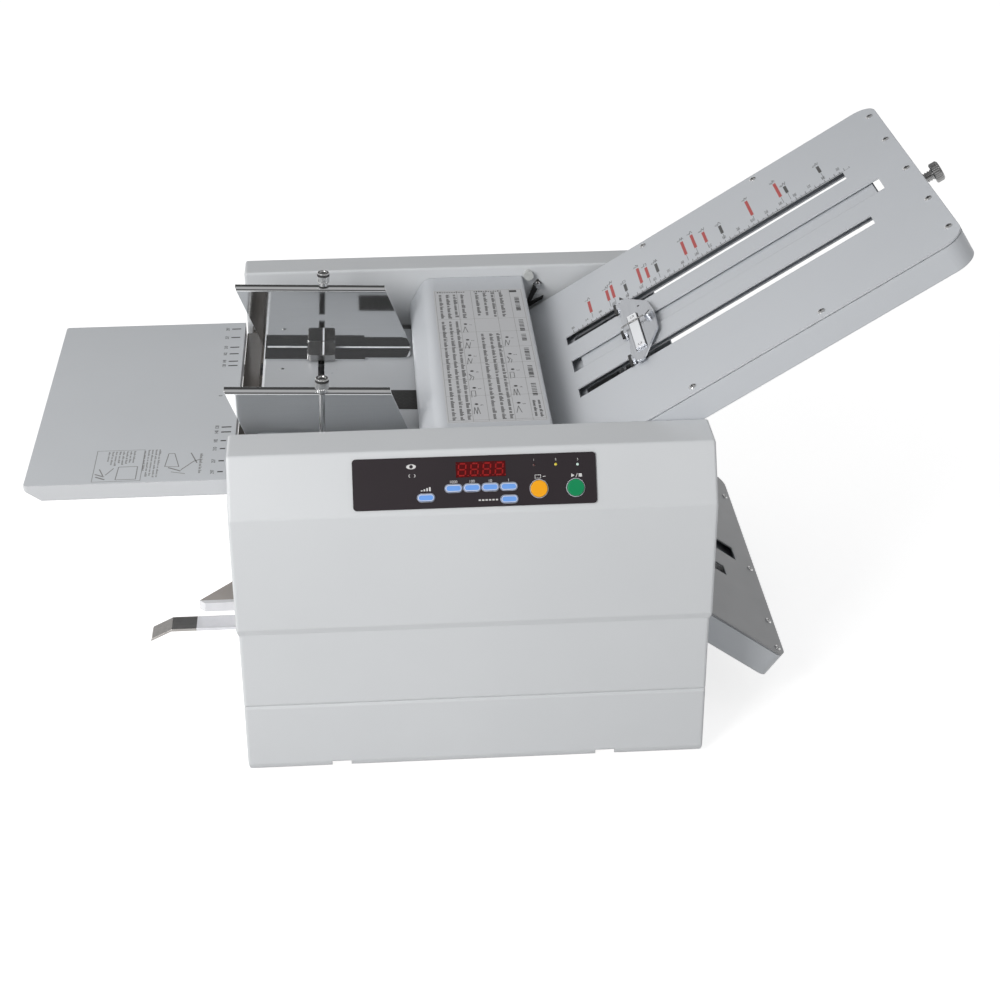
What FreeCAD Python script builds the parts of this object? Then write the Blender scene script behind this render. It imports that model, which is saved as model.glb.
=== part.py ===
import FreeCAD, Part
import math
import os
import re

import Sketcher
from FreeCAD import Placement, Rotation, Vector

# Paper folding machine. +X runs from the feed tray to the fold plates, +Y to the back, +Z up.
# Pieces are drawn from the covers' left end, the paper's centre line and the covers' lower edge,
# and every piece is then placed so that the origin is the middle of the base of the whole box.

doc = FreeCAD.newDocument("PaperFolder")
sheet = doc.addObject("Spreadsheet::Sheet", "dims")

DIMENSIONS = (
    ("gap", 0.3, "gap between pieces that only lie near each other"),
    ("run", 0.05, "radial clearance of a shaft in its hole"),
    # side covers
    ("cover_length", 401.4, "side covers along X"),
    ("cover_depth", 476.2, "whole body along Y"),
    ("cover_height", 293.1, "side covers along Z"),
    ("cover_wall", 4.5, "front and top wall of a cover"),
    ("cover_end", 5.0, "end wall of a cover"),
    ("lip_wall", 3.0, "inner lip of a cover"),
    ("lip_depth", 60.0, "how far the inner lip hangs down"),
    ("lip_cut_left", 178.0, "inner lips are cut away from here"),
    ("lip_cut_right", 271.5, "to here, under the loose cover"),
    ("lip_cut_drop", 1.5, "top of that cut below the loose cover's top"),
    ("crease_height", 247.8, "where the slanted face begins"),
    ("slant_run", 27.0, "how far the slanted face leans back"),
    ("belt_height", 143.0, "upper edge of the sloping belt round the covers"),
    ("belt_low", 137.0, "lower edge of that belt"),
    ("step_in", 2.0, "how far the lower half steps in"),
    ("cover_round", 3.0, "long outer edges of the covers"),
    ("cover_inner_round", 2.0, "long inner edge of the covers' tops"),
    ("cover_end_round", 2.5, "edges of the covers' ends"),
    ("bevel_in", 1.8, "bevel along the covers' bottom edge, inwards"),
    ("bevel_high", 5.0, "height of that bevel"),
    ("groove_height", 64.5, "middle of the lower groove"),
    ("groove_half", 2.0, "half width of the lower groove"),
    ("groove_depth", 1.2, "depth of the lower groove"),
    ("notch_width", 16.5, "notches in the bottom edge"),
    ("notch_height", 5.0, "height of those notches"),
    ("notch_left", 83.0, "middle of the left notch"),
    ("notch_right", 313.0, "middle of the right notch"),
    ("front_inner", 170.1, "front cover's inner edge from the centre line"),
    ("rear_inner", 177.6, "rear cover's inner edge from the centre line"),
    # frame
    ("frame_front", 174.0, "front side plate's inner face from the centre line"),
    ("frame_rear", 181.5, "rear side plate's inner face from the centre line"),
    ("frame_sheet", 3.0, "side plates"),
    ("frame_top", 279.7, "top edge of the side plates"),
    ("frame_shoulder", 240.0, "lower top edge of the side plates at the left"),
    ("shoulder_end", 125.0, "where that lower edge ends"),
    ("shoulder_rise", 25.0, "run of the slope above it"),
    ("frame_cut", 15.0, "cut at the side plates' upper right corner"),
    ("screw_play", 0.1, "screw holes around the screws"),
    ("pan_floor", 4.0, "underside of the base pan"),
    ("pan_sheet", 1.5, "base pan"),
    ("pan_rim", 15.0, "height of the pan's rims"),
    ("foot_drop", 4.0, "how far the feet stand below the covers"),
    ("foot_radius", 12.0, "rubber feet"),
    ("foot_left", 40.0, "left feet along X"),
    ("foot_right", 361.0, "right feet along X"),
    ("foot_reach", 200.0, "feet from the centre line"),
    ("bar_radius", 5.0, "tie bars"),
    ("pan_bar_left", 25.0, "left bar over the base pan along X"),
    ("pan_bar_right", 330.0, "right bar over the base pan along X"),
    ("pan_bar_z", 40.0, "bars over the base pan along Z"),
    ("upper_bar_near", 60.0, "first bar under the upper plate, along its slope"),
    ("upper_bar_far", 110.0, "second bar under the upper plate"),
    ("lower_bar_near", 60.0, "first bar under the lower plate, along its slope"),
    ("lower_bar_far", 142.0, "second bar under the lower plate"),
    ("screw_radius", 2.5, "cap screws"),
    ("screw_head_radius", 4.5, "heads of the cap screws"),
    ("screw_head", 3.2, "height of those heads"),
    ("panel_sheet", 1.2, "end panels"),
    ("panel_flange", 12.0, "end panels' side flanges"),
    ("left_panel_top", 237.0, "top edge of the left end panel"),
    ("apron_start", 0.6, "left edge of that panel's upper flange"),
    ("apron_end", 15.8, "right edge of that flange, beside the feed table"),
    ("right_panel_top", 284.0, "top edge of the right end panel"),
    ("exit_low", 113.5, "lower edge of the paper exit"),
    ("exit_high", 142.0, "upper edge of the paper exit"),
    ("exit_half", 160.0, "half width of the paper exit"),
    # feed tray
    ("tray_reach", 174.0, "how far the feed tray reaches left of the covers"),
    ("tray_gap", 0.3, "feed tray to covers"),
    ("tray_half", 163.5, "half width of the feed tray"),
    ("tray_top", 247.0, "top of the feed tray"),
    ("tray_rim", 14.0, "height of the feed tray's rim"),
    ("tray_sheet", 1.5, "feed tray"),
    ("tray_corner", 3.0, "corner radius of the feed tray"),
    ("tray_chamfer", 14.0, "cut at the left end of the feed tray's rims"),
    ("tray_lip", 4.0, "what that cut leaves of the rims' height"),
    ("rail_centre", 115.0, "tray rails from the centre line"),
    ("rail_width", 10.0, "tray rails along Y"),
    ("rail_top", 222.0, "upper edge of the rails inside the machine"),
    ("rail_height", 8.0, "height of the rails inside the machine"),
    ("rail_end", 145.0, "right end of the rails"),
    ("rail_play", 0.5, "rails in the left end panel's holes"),
    ("rail_start", 14.0, "left end of the rails from the tray's"),
    ("rail_deep", 40.0, "where the rails reach their full depth"),
    ("rail_nose", 6.0, "rails' left end above their inner part"),
    ("saddle_left", 20.0, "rail saddles begin"),
    ("saddle_length", 40.0, "rail saddles along X"),
    ("saddle_wall", 5.0, "walls of the rail saddles"),
    ("saddle_rise", 3.0, "how far a saddle's walls stand beside its rail"),
    ("saddle_sheet", 2.0, "sheet under the saddles"),
    ("saddle_flange", 12.0, "flanges of that sheet"),
    # feed table
    ("table_left", 19.0, "left edge of the feed table"),
    ("table_height", 242.0, "top of the feed table at its left edge"),
    ("table_slope", 2.2, "fall of the feed table in degrees"),
    ("table_length", 164.0, "feed table along its slope"),
    ("table_half", 160.0, "half width of the feed table"),
    ("table_sheet", 2.0, "feed table"),
    ("table_flange", 8.0, "side flanges of the feed table"),
    ("table_lug", 18.0, "depth of the table's lugs"),
    ("lug_half", 8.0, "half width of the link lugs"),
    ("pivot_ear", 8.0, "pivot ears right of the pivot"),
    ("pivot_below", 6.0, "pivot ears below the pivot"),
    ("ear_slope", 12.0, "run of the ears' slanted edge"),
    ("pivot_in", 4.0, "table pivot from the table's left edge"),
    ("pivot_drop", 16.0, "table pivot below the table's top"),
    ("pivot_radius", 3.0, "table pivot pins"),
    ("slot_place", 54.6, "cross slots from the table's left edge"),
    ("slot_width", 5.8, "cross slots"),
    ("slot_half", 152.0, "outer ends of the cross slots"),
    ("slot_inner", 44.5, "inner ends of the cross slots"),
    ("slot_middle", 30.0, "half length of the short slot between them"),
    ("pad_place", 132.0, "pad recess from the table's left edge"),
    ("pad_length", 22.0, "pad recess along the table"),
    ("pad_width", 40.0, "pad recess across the table"),
    ("pad_deep", 0.8, "depth of the pad recess"),
    # paper guides
    ("guide_half", 112.0, "guides' paper faces from the centre line"),
    ("guide_sheet", 1.5, "guides"),
    ("guide_height", 62.6, "top of the guides above the table"),
    ("guide_lean", 27.0, "how far the guides' top edge leads their bottom edge"),
    ("guide_length", 141.8, "guides along the table"),
    ("guide_flange", 28.0, "guides' lower flange"),
    ("guide_flange_narrow", 24.0, "lower flange at its right part"),
    ("guide_step", 96.0, "where the lower flange gets narrower"),
    ("guide_hem", 8.5, "guides' upper flange"),
    ("guide_round", 9.0, "rounded right end of the lower flange"),
    ("rod_boss", 6.0, "boss round a lock rod, half length"),
    ("boss_height", 8.0, "height of that boss"),
    ("rod_foot", 2.5, "lock rods' feet above the table"),
    ("guide_bend", 3.8, "outer radius of that flange's bend"),
    ("block_length", 26.0, "clamp blocks along the table"),
    ("block_width", 32.0, "clamp blocks across the table"),
    ("block_height", 6.0, "clamp blocks"),
    ("stud_radius", 2.3, "studs of the clamp blocks"),
    ("rod_place", 56.5, "lock rods from the table's left edge"),
    ("rod_radius", 2.5, "lock rods"),
    ("rod_out", 4.9, "lock rods from the guides' paper faces"),
    ("nut_radius", 5.6, "knurled lock nuts"),
    ("nut_height", 14.0, "knurled lock nuts"),
    ("collar_height", 3.0, "collars under the lock nuts"),
    ("collar_in", 1.4, "collars' rims inside the nuts' rims"),
    # release lever
    ("lift_x", 100.0, "lift shaft along X"),
    ("lift_z", 100.0, "lift shaft along Z"),
    ("lift_radius", 4.0, "lift shaft"),
    ("arm_reach", 15.0, "arm pins from the lift shaft"),
    ("arm_width", 4.0, "arms along Y"),
    ("arm_inset", 9.5, "arms' inner faces from the side plates"),
    ("arm_rim", 6.0, "arms around their pins"),
    ("shaft_out", 3.0, "shafts beyond the side plates"),
    ("link_inset", 4.8, "links' inner faces from the side plates"),
    ("link_sheet", 3.0, "links"),
    ("link_width", 9.0, "links along X"),
    ("pin_radius", 2.5, "pins of arms and links"),
    ("lever_sheet", 2.5, "release lever"),
    ("lever_width", 20.0, "release lever"),
    ("lever_reach", 61.5, "lever's bend, left of the covers"),
    ("lever_tip", 18.0, "lever's bent end along X"),
    ("lever_fall", 9.0, "lever's bent end along Z"),
    ("lever_swing", 28.0, "lever's room below the lift shaft's height"),
    ("lever_play", 2.5, "lever's room to its sides"),
    ("lever_hub", 3.0, "wall of the lever's hub"),
    # rollers
    ("roller_x", 253.7, "middle fold roller along X"),
    ("roller_z", 205.7, "middle fold roller along Z"),
    ("roller_pitch", 32.0, "between the axes of touching fold rollers"),
    ("nip_gap", 0.4, "gap of the nips"),
    ("roller_half", 158.0, "half length of the fold rollers"),
    ("journal_radius", 5.0, "journals of the fold rollers"),
    ("journal_out", 3.0, "journals beyond the front side plate"),
    ("second_turn", 15.0, "second nip's rise above level in degrees"),
    ("third_turn", 5.0, "last roller's lean in degrees"),
    ("bush_wall", 3.0, "bushes"),
    ("bush_flange", 1.2, "bushes' flanges"),
    ("bush_rim", 2.0, "bushes' flanges beyond their sleeves"),
    ("gear_teeth", 20, "teeth of a roller gear"),
    ("pinion_teeth", 12, "teeth of the motor pinion"),
    ("gear_width", 8.0, "gears along Y"),
    ("gear_backlash", 0.35, "gear backlash"),
    ("pinion_turn", -60.0, "pinion's direction from the last roller in degrees"),
    ("motor_radius", 30.0, "motor"),
    ("motor_length", 32.0, "motor"),
    ("motor_gap", 2.4, "gears to motor"),
    ("leg_radius", 4.0, "motor legs"),
    ("leg_place", 25.0, "motor legs from the motor's axis"),
    ("motor_shaft", 3.0, "motor shaft radius"),
    ("feed_x", 190.0, "feed roller along X"),
    ("feed_z", 254.0, "feed roller along Z"),
    ("feed_radius", 18.0, "feed tyres"),
    ("feed_shaft_radius", 4.0, "feed shaft"),
    ("tyre_width", 26.0, "feed tyres"),
    ("tyre_pitch", 70.0, "between the feed tyres"),
    ("pad_half", 16.0, "separator pad, half width"),
    ("pad_bar_x", 197.0, "bar under the separator pad along X"),
    ("pad_bar_z", 215.0, "bar under the separator pad along Z"),
    # exit
    ("chute_sheet", 1.2, "exit chute"),
    ("chute_left", 3.0, "left end of the exit chute"),
    ("chute_right", 230.0, "right end of the exit chute"),
    ("chute_rise", 37.8, "rise of the exit chute"),
    ("chute_half", 155.0, "half width of the exit chute"),
    ("ear_left", 175.0, "chute's ears along X, from here"),
    ("ear_right", 215.0, "to here"),
    ("guard_reach", 38.0, "lever guard, left of the covers"),
    ("guard_height", 9.0, "lever guard"),
    ("guard_corner", 5.0, "cut corner of the lever guard"),
    ("guard_bend", 12.0, "guard's slanted edge bends this far left of the covers"),
    ("guard_short", 34.0, "guard's width at that bend"),
    ("guard_wide", 54.0, "guard's width at the end panel"),
    # top cover
    ("lid_top", 282.5, "top of the loose cover"),
    ("lid_sheet", 2.5, "loose cover"),
    ("lid_left", 161.0, "left edge of the loose cover"),
    ("lid_right", 272.5, "right edge of the loose cover"),
    ("lid_skirt", 244.0, "lower edge of the loose cover's left skirt"),
    ("lid_lip", 268.0, "lower edge of the loose cover's right lip"),
    ("lid_slope", 15.0, "how far the left skirt leans out"),
    ("lid_edge", 2.0, "right edge's outer radius"),
    ("lid_round", 14.0, "radius between the top and the skirt"),
    ("lid_fold", 12.0, "height of the skirt's upright part"),
    ("lid_fold_round", 18.0, "radius above that part"),
    ("lid_bar_left", 214.0, "left bar under the loose cover"),
    ("lid_bar_right", 264.0, "right bar under the loose cover"),
    # fold plates
    ("upper_slope", 32.0, "rise of the upper fold plate in degrees"),
    ("lower_slope", 35.93, "fall of the lower fold plate in degrees"),
    ("plate_half", 169.5, "half width of the fold plates"),
    ("plate_depth", 26.5, "depth of the fold plates"),
    ("plate_sheet", 1.5, "sheets of the fold plates"),
    ("channel_roof", 5.75, "a paper channel's roof above its paper line"),
    ("channel_floor", 1.5, "a paper channel's floor below its paper line"),
    ("window_start", 80.0, "windows in the upper plate's floor begin"),
    ("window_end", 372.0, "windows in the upper plate's floor end"),
    ("window_inner", 36.0, "inner edges of those windows from the centre line"),
    ("window_outer", 74.0, "outer edges of those windows from the centre line"),
    ("rib_start", 84.0, "raised rib on the upper plate's floor begins"),
    ("rib_end", 388.0, "that rib ends"),
    ("rib_half", 20.0, "half width of the rib"),
    ("rib_room", 1.4, "paper's room above the rib"),
    ("rib_corner", 6.0, "corner radius of the rib"),
    ("end_window", 12.0, "window in the floor past the rib, along the slope"),
    ("plate_start", 24.0, "upper plate's mouth from the first nip"),
    ("plate_end", 427.7, "upper plate's end from the first nip"),
    ("plate_corner", 20.0, "corner radius of the upper plate"),
    ("seam_in", 1.0, "seam under the top sheets, inwards"),
    ("seam_high", 0.8, "height of that seam"),
    ("plate_step", 30.0, "shallow part of a plate's base at its mouth"),
    ("side_slot_place", 56.0, "side slots from the centre line"),
    ("side_slot_width", 18.5, "side slots"),
    ("mid_slot_width", 26.0, "middle slot"),
    ("slot_start", 75.0, "slots begin"),
    ("side_slot_end", 371.7, "side slots end"),
    ("mid_slot_end", 395.0, "middle slot ends"),
    ("plate_screw_radius", 3.4, "plate screws' heads"),
    ("plate_screw_head", 1.4, "plate screws' heads"),
    ("lower_start", 14.0, "lower plate's mouth from the second nip's guide"),
    ("lower_end", 254.0, "lower plate's end"),
    ("lower_corner", 12.0, "corner radius of the lower plate"),
    ("lower_reach", 18.0, "second nip to the lower plate's centre line"),
    ("lower_slot_start", 55.0, "lower plate's slots begin"),
    ("lower_mid_place", -7.5, "lower plate's middle slot from the centre line"),
    ("lower_mid_width", 24.0, "lower plate's middle slot"),
    ("lower_mid_end", 228.5, "lower plate's middle slot ends"),
    ("lower_side_place", -59.5, "lower plate's side slot from the centre line"),
    ("lower_side_width", 17.0, "lower plate's side slot"),
    ("lower_side_end", 206.5, "lower plate's side slot ends"),
    # stops
    ("stop_place", 131.0, "upper stop from the first nip"),
    ("stop_in", 5.0, "cross bars from the stops' left edges"),
    ("stop_width", 6.0, "cross bars of the stops along the slope"),
    ("stop_sheet", 3.0, "thickness of the cross bar"),
    ("pointer_sheet", 2.0, "pointer plate of the upper stop"),
    ("strip_start", 7.7, "clamp strip from the stop's left edge"),
    ("strip_width", 10.0, "clamp strip along the slope"),
    ("strip_low", -53.0, "clamp strip's front end"),
    ("strip_high", 17.0, "clamp strip's rear end"),
    ("screw_place", 28.0, "clamp screw from the stop's left edge"),
    ("clamp_screw", 4.5, "clamp screw's radius"),
    ("stop_bar_half", 150.0, "half width of the bar in the channel"),
    ("stop_bar", 5.0, "bar in the channel along the slope"),
    ("finger_sheet", 2.5, "fingers through the slots"),
    ("finger_play", 0.6, "fingers in the slots, each side"),
    ("finger_tab", 4.0, "half width of the tabs that carry the fingers"),
    ("lower_stop_place", 120.0, "lower stop from the lower plate's origin"),
    ("knob_drop", 18.5, "knob's axis below the upper plate's face"),
    ("knob_radius", 9.3, "knob at the end of the upper plate"),
    ("knob_length", 8.5, "that knob"),
    ("knob_neck", 9.0, "neck of that knob"),
    ("knob_neck_radius", 4.8, "neck of that knob"),
    ("knob_shaft", 12.0, "how far its shaft goes into the plate"),
    # plate brackets
    ("bracket_x", 278.5, "bracket disc along X"),
    ("bracket_disc", 4.7, "bracket disc"),
    ("bracket_z", 284.0, "bracket disc along Z"),
    ("bracket_sheet", 2.6, "brackets"),
    # control panel, along X and up the slanted face
    ("panel_left", 101.8, "left edge of the control panel"),
    ("panel_right", 301.0, "right edge"),
    ("panel_low", 4.9, "lower edge"),
    ("panel_high", 46.9, "upper edge"),
    ("panel_thick", 1.2, "control panel"),
    ("panel_corner", 3.0, "corner radius of the control panel"),
    ("window_left", 147.0, "cover's window behind the panel"),
    ("window_right", 294.0, "that window's right edge"),
    ("window_low", 6.6, "that window's lower edge"),
    ("window_high", 43.0, "that window's upper edge"),
    ("key_length", 13.6, "oval buttons"),
    ("key_height", 5.9, "oval buttons"),
    ("round_radius", 6.9, "round buttons"),
    ("key_proud", 1.6, "buttons above the control panel"),
    ("key_depth", 6.0, "buttons below the slanted face"),
    ("key_travel", 1.0, "travel of the buttons"),
    ("board_sheet", 1.6, "circuit board"),
    ("board_post", 2.2, "posts of the circuit board"),
    # power inlet
    ("inlet_x", 70.0, "power inlet along X"),
    ("inlet_z", 46.0, "power inlet along Z"),
    ("inlet_width", 58.0, "power inlet"),
    ("inlet_height", 28.0, "power inlet"),
    ("inlet_depth", 20.0, "power inlet"),
    ("inlet_flange", 2.0, "power inlet's flange"),
    ("rocker_length", 12.0, "rocker along X"),
    ("rocker_height", 19.0, "rocker along Z"),
)

for row, (word, number, meaning) in enumerate(DIMENSIONS, 1):
    sheet.set("A%d" % row, word)
    sheet.set("B%d" % row, str(number))
    sheet.setAlias("B%d" % row, word)
    sheet.set("C%d" % row, meaning)
doc.recompute()

# Places worked out from the driving dimensions. A name here stands for its text in any expression.
DERIVED = {
    "half_depth": "cover_depth / 2",
    "slant_rise": "cover_height - crease_height",
    "slant_angle": "atan(slant_rise / slant_run)",
    "lower_face": "half_depth - step_in",
    "nip_half": "roller_pitch / 2",
    "roller_radius": "nip_half - nip_gap / 2",
    # the four fold rollers: 2 is in the middle and touches the other three
    "roller_1_x": "roller_x - roller_pitch * sin(upper_slope)",
    "roller_1_z": "roller_z + roller_pitch * cos(upper_slope)",
    "roller_3_x": "roller_x + roller_pitch * cos(second_turn)",
    "roller_3_z": "roller_z + roller_pitch * sin(second_turn)",
    "roller_4_x": "roller_x + roller_pitch * sin(third_turn)",
    "roller_4_z": "roller_z - roller_pitch * cos(third_turn)",
    # first nip, where the upper plate's centre line starts
    "nip_x": "roller_x - nip_half * sin(upper_slope)",
    "nip_z": "roller_z + nip_half * cos(upper_slope)",
    # point below the second nip, where the lower plate's centre line starts
    "low_x": "roller_x + nip_half * cos(second_turn) + lower_reach * sin(second_turn)",
    "low_z": "roller_z + nip_half * sin(second_turn) - lower_reach * cos(second_turn)",
    "plate_face": "channel_roof + plate_sheet",
    "plate_back": "plate_face - plate_depth",
    "rib_top": "channel_roof - rib_room",
    "knob_level": "plate_face - knob_drop",
    "knob_tip": "plate_end + gap + knob_neck + knob_length",
    "right_end": "nip_x + knob_tip * cos(upper_slope) - (knob_level - knob_radius) * sin(upper_slope)",
    "centre_x": "(right_end - tray_reach) / 2",
    "gear_module": "roller_pitch / gear_teeth",
    "pinion_reach": "gear_module * (gear_teeth + pinion_teeth) / 2",
    "pinion_x": "roller_4_x + pinion_reach * cos(pinion_turn)",
    "pinion_z": "roller_4_z + pinion_reach * sin(pinion_turn)",
    "gear_start": "frame_rear + frame_sheet + 1",
    "gear_end": "gear_start + gear_width",
    "motor_start": "gear_end + motor_gap",
    "frame_left": "cover_end + 2 * gap + panel_sheet",
    "frame_right": "cover_length - frame_left",
    "pan_top": "pan_floor + pan_sheet",
    "saddle_floor": "rail_top - rail_height - gap",
    "guide_back": "guide_half + guide_sheet",
    "rod_y": "guide_half + rod_out",
    "pin_place": "lift_x - arm_reach - table_left",
    "pin_drop": "table_lug - pin_radius - 3",
    "pivot_x": "table_left + pivot_in * cos(table_slope) - pivot_drop * sin(table_slope)",
    "pivot_z": "table_height - pivot_in * sin(table_slope) - pivot_drop * cos(table_slope)",
    "link_x": "lift_x - arm_reach",
    "link_z": "table_height - pin_place * sin(table_slope) - pin_drop * cos(table_slope)",
    "lever_y": "arm_inset + 0.5",
    "upper_bar": "plate_depth - plate_face + gap + bar_radius",
    "inlet_left": "inlet_x - inlet_width / 2",
    "inlet_low": "inlet_z - inlet_height / 2",
    "rocker_x": "inlet_left + inlet_width - 10",
}
WORDS = {word for word, number, meaning in DIMENSIONS}


def expand(text):
    """Write worked-out names in full and point the sheet's words at the sheet."""
    def swap(found):
        word = found.group(0)
        if word in DERIVED:
            return "(" + expand(DERIVED[word]) + ")"
        return "dims." + word if word in WORDS else word
    return re.sub(r"[A-Za-z_][A-Za-z_0-9]*", swap, text)


def value(text):
    """The number that an expression has now."""
    result = sheet.evalExpression(expand(text).replace("dims.", ""))
    return float(getattr(result, "Value", result))


def bind(thing, **sizes):
    """Bind properties to expressions; a double underscore stands for a dot."""
    for name, text in sizes.items():
        thing.setExpression(name.replace("__", "."), expand(text))


# Frames that pieces are drawn in: place of the origin, axis and turn.
FRAMES = {
    "machine": ("0", "0", "0", (0, 1, 0), "0"),
    "table": ("table_left", "0", "table_height", (0, 1, 0), "table_slope"),
    "upper": ("nip_x", "0", "nip_z", (0, 1, 0), "-upper_slope"),
    "lower": ("low_x", "0", "low_z", (0, 1, 0), "lower_slope"),
    "panel": ("0", "-half_depth", "crease_height", (1, 0, 0), "slant_angle"),
}


def put(thing, frame="machine", at=("0", "0", "0")):
    """Place a finished sub-part: its frame, or a point of the machine's own frame."""
    x, y, z, axis, turn = FRAMES[frame]
    thing.Placement = Placement(Vector(0, 0, 0), Rotation(Vector(*axis), 1))
    bind(thing, Placement__Base__x="%s + %s - centre_x" % (x, at[0]),
         Placement__Base__y="%s + %s" % (y, at[1]),
         Placement__Base__z="%s + %s + foot_drop" % (z, at[2]))
    if turn == "0":
        thing.Placement = Placement(thing.Placement.Base, Rotation())
    else:
        bind(thing, Placement__Rotation__Angle=turn)
    return thing


# ---- Part Design helpers ----

def newBody(label):
    body = doc.addObject("PartDesign::Body", label + "_body")
    body.Label = label
    return body


def planeSketch(body, plane, start):
    """An empty sketch on one of the body's own planes, moved out to a coordinate."""
    role = plane + "_Plane"
    sketch = body.newObject("Sketcher::SketchObject", "sketch")
    support = [item for item in body.Origin.OriginFeatures if item.Role == role][0]
    sketch.AttachmentSupport = [(support, "")]
    sketch.MapMode = "FlatFace"
    bind(sketch, AttachmentOffset__Base__z="-(%s)" % start if plane == "XZ" else start)
    return sketch


def pin(sketch, kind, part, text):
    """One dimension of a sketch: a point's distance from the origin."""
    number = sketch.addConstraint(
        Sketcher.Constraint(kind, -1, 1, part[0], part[1], value(text)))
    sketch.setExpression("Constraints[%d]" % number, expand(text))


def drawPolygon(sketch, points):
    first = sketch.GeometryCount
    places = [Vector(value(x), value(y), 0) for x, y in points]
    count = len(points)
    for index in range(count):
        sketch.addGeometry(Part.LineSegment(places[index], places[(index + 1) % count]), False)
    for index in range(count):
        following = first + (index + 1) % count
        sketch.addConstraint(Sketcher.Constraint("Coincident", first + index, 2, following, 1))
    for index, (x, y) in enumerate(points):
        pin(sketch, "DistanceX", (first + index, 1), x)
        pin(sketch, "DistanceY", (first + index, 1), y)


def drawCircle(sketch, x, y, radius):
    circle = Part.Circle(Vector(value(x), value(y), 0), Vector(0, 0, 1), value(radius))
    index = sketch.addGeometry(circle, False)
    pin(sketch, "DistanceX", (index, 3), x)
    pin(sketch, "DistanceY", (index, 3), y)
    number = sketch.addConstraint(Sketcher.Constraint("Radius", index, value(radius)))
    sketch.setExpression("Constraints[%d]" % number, expand(radius))


def draw(body, plane, start, shapes):
    """A sketch of polygons (lists of points) and circles (x, y, radius)."""
    sketch = planeSketch(body, plane, start)
    for shape in shapes:
        if isinstance(shape, list):
            drawPolygon(sketch, shape)
        else:
            drawCircle(sketch, *shape)
    return sketch


def pad(body, plane, start, end, *shapes):
    """Add material between two coordinates of the axis that stands on the plane."""
    feature = body.newObject("PartDesign::Pad", "pad")
    feature.Profile = draw(body, plane, start, shapes)
    bind(feature, Length="(%s) - (%s)" % (end, start))
    feature.Reversed = plane == "XZ"
    body.Tip = feature
    return feature


def pocket(body, plane, start, end, *shapes):
    """Take material away between two coordinates of the axis that stands on the plane."""
    doc.recompute()
    before = body.Tip.Shape.Volume
    feature = body.newObject("PartDesign::Pocket", "pocket")
    feature.Profile = draw(body, plane, start, shapes)
    bind(feature, Length="(%s) - (%s)" % (end, start))
    feature.Reversed = plane != "XZ"
    body.Tip = feature
    doc.recompute()
    if feature.Shape.Volume > before - 0.01:
        raise RuntimeError("%s: a pocket cuts nothing" % body.Label)
    return feature


def isStraight(edge):
    return not edge.Degenerated and edge.Curve.TypeId == "Part::GeomLine"


def fillet(body, radius, wanted):
    """Round the straight edges that the function picks by their two ends."""
    doc.recompute()
    base = body.Tip
    names = []
    for number, edge in enumerate(base.Shape.Edges, 1):
        if edge.Length > 0.01 and isStraight(edge) and wanted(*[v.Point for v in edge.Vertexes]):
            names.append("Edge%d" % number)
    if not names:
        raise RuntimeError("%s: no edge to round" % body.Label)
    feature = body.newObject("PartDesign::Fillet", "fillet")
    feature.Base = (base, names)
    bind(feature, Radius=radius)
    body.Tip = feature
    doc.recompute()
    return feature


def near(a, b):
    return abs(a - b) < 0.01


def runs(axis):
    """Picks edges that run along one axis."""
    def test(a, b):
        return all(near(a[i], b[i]) for i in range(3) if i != axis)
    return test


def both(*tests):
    return lambda a, b: all(test(a, b) for test in tests)


def either(*tests):
    return lambda a, b: any(test(a, b) for test in tests)


def at(axis, text):
    """Picks edges that lie at one coordinate, to either side of zero."""
    place = abs(value(text))
    return lambda a, b: near(abs(a[axis]), place) and near(abs(b[axis]), place)


ALONG_X, ALONG_Y, ALONG_Z = runs(0), runs(1), runs(2)


def rect(left, low, right, high):
    return [(left, low), (right, low), (right, high), (left, high)]


def mirror(points, side):
    """The same outline with its first coordinate on one side of zero."""
    return [("%d * (%s)" % (side, x), y) for x, y in points]


# ---- Part helpers ----

def roundBar(radius, x, z, start, end, name="bar"):
    """A cylinder along Y between two coordinates."""
    bar = doc.addObject("Part::Cylinder", name)
    bar.Placement = Placement(Vector(0, 0, 0), Rotation(Vector(1, 0, 0), -90))
    bind(bar, Radius=radius, Height="(%s) - (%s)" % (end, start),
         Placement__Base__x=x, Placement__Base__y=start, Placement__Base__z=z)
    return bar


def disc(radius, x, y, low, high, name="disc"):
    """A cylinder along Z between two heights."""
    bar = doc.addObject("Part::Cylinder", name)
    bind(bar, Radius=radius, Height="(%s) - (%s)" % (high, low),
         Placement__Base__x=x, Placement__Base__y=y, Placement__Base__z=low)
    return bar


def block(x0, y0, z0, x1, y1, z1, name="block"):
    box = doc.addObject("Part::Box", name)
    bind(box, Length="(%s) - (%s)" % (x1, x0), Width="(%s) - (%s)" % (y1, y0),
         Height="(%s) - (%s)" % (z1, z0),
         Placement__Base__x=x0, Placement__Base__y=y0, Placement__Base__z=z0)
    return box


def fuse(*things):
    result = doc.addObject("Part::MultiFuse", "fused")
    result.Shapes = list(things)
    return result


def cut(base, *tools):
    result = doc.addObject("Part::Cut", "cut")
    result.Base = base
    result.Tool = tools[0] if len(tools) == 1 else fuse(*tools)
    return result


def group(label, things):
    """Identical fasteners and fittings that share one node."""
    result = doc.addObject("Part::Compound", label)
    result.Links = list(things)
    result.Label = label
    return result


NODES = []


def finish(thing, label, frame="machine", place=("0", "0", "0")):
    thing.Label = label
    NODES.append(put(thing, frame, place))
    return thing


SIDES = ((-1, "front"), (1, "rear"))


# ---- Side covers ----

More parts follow.
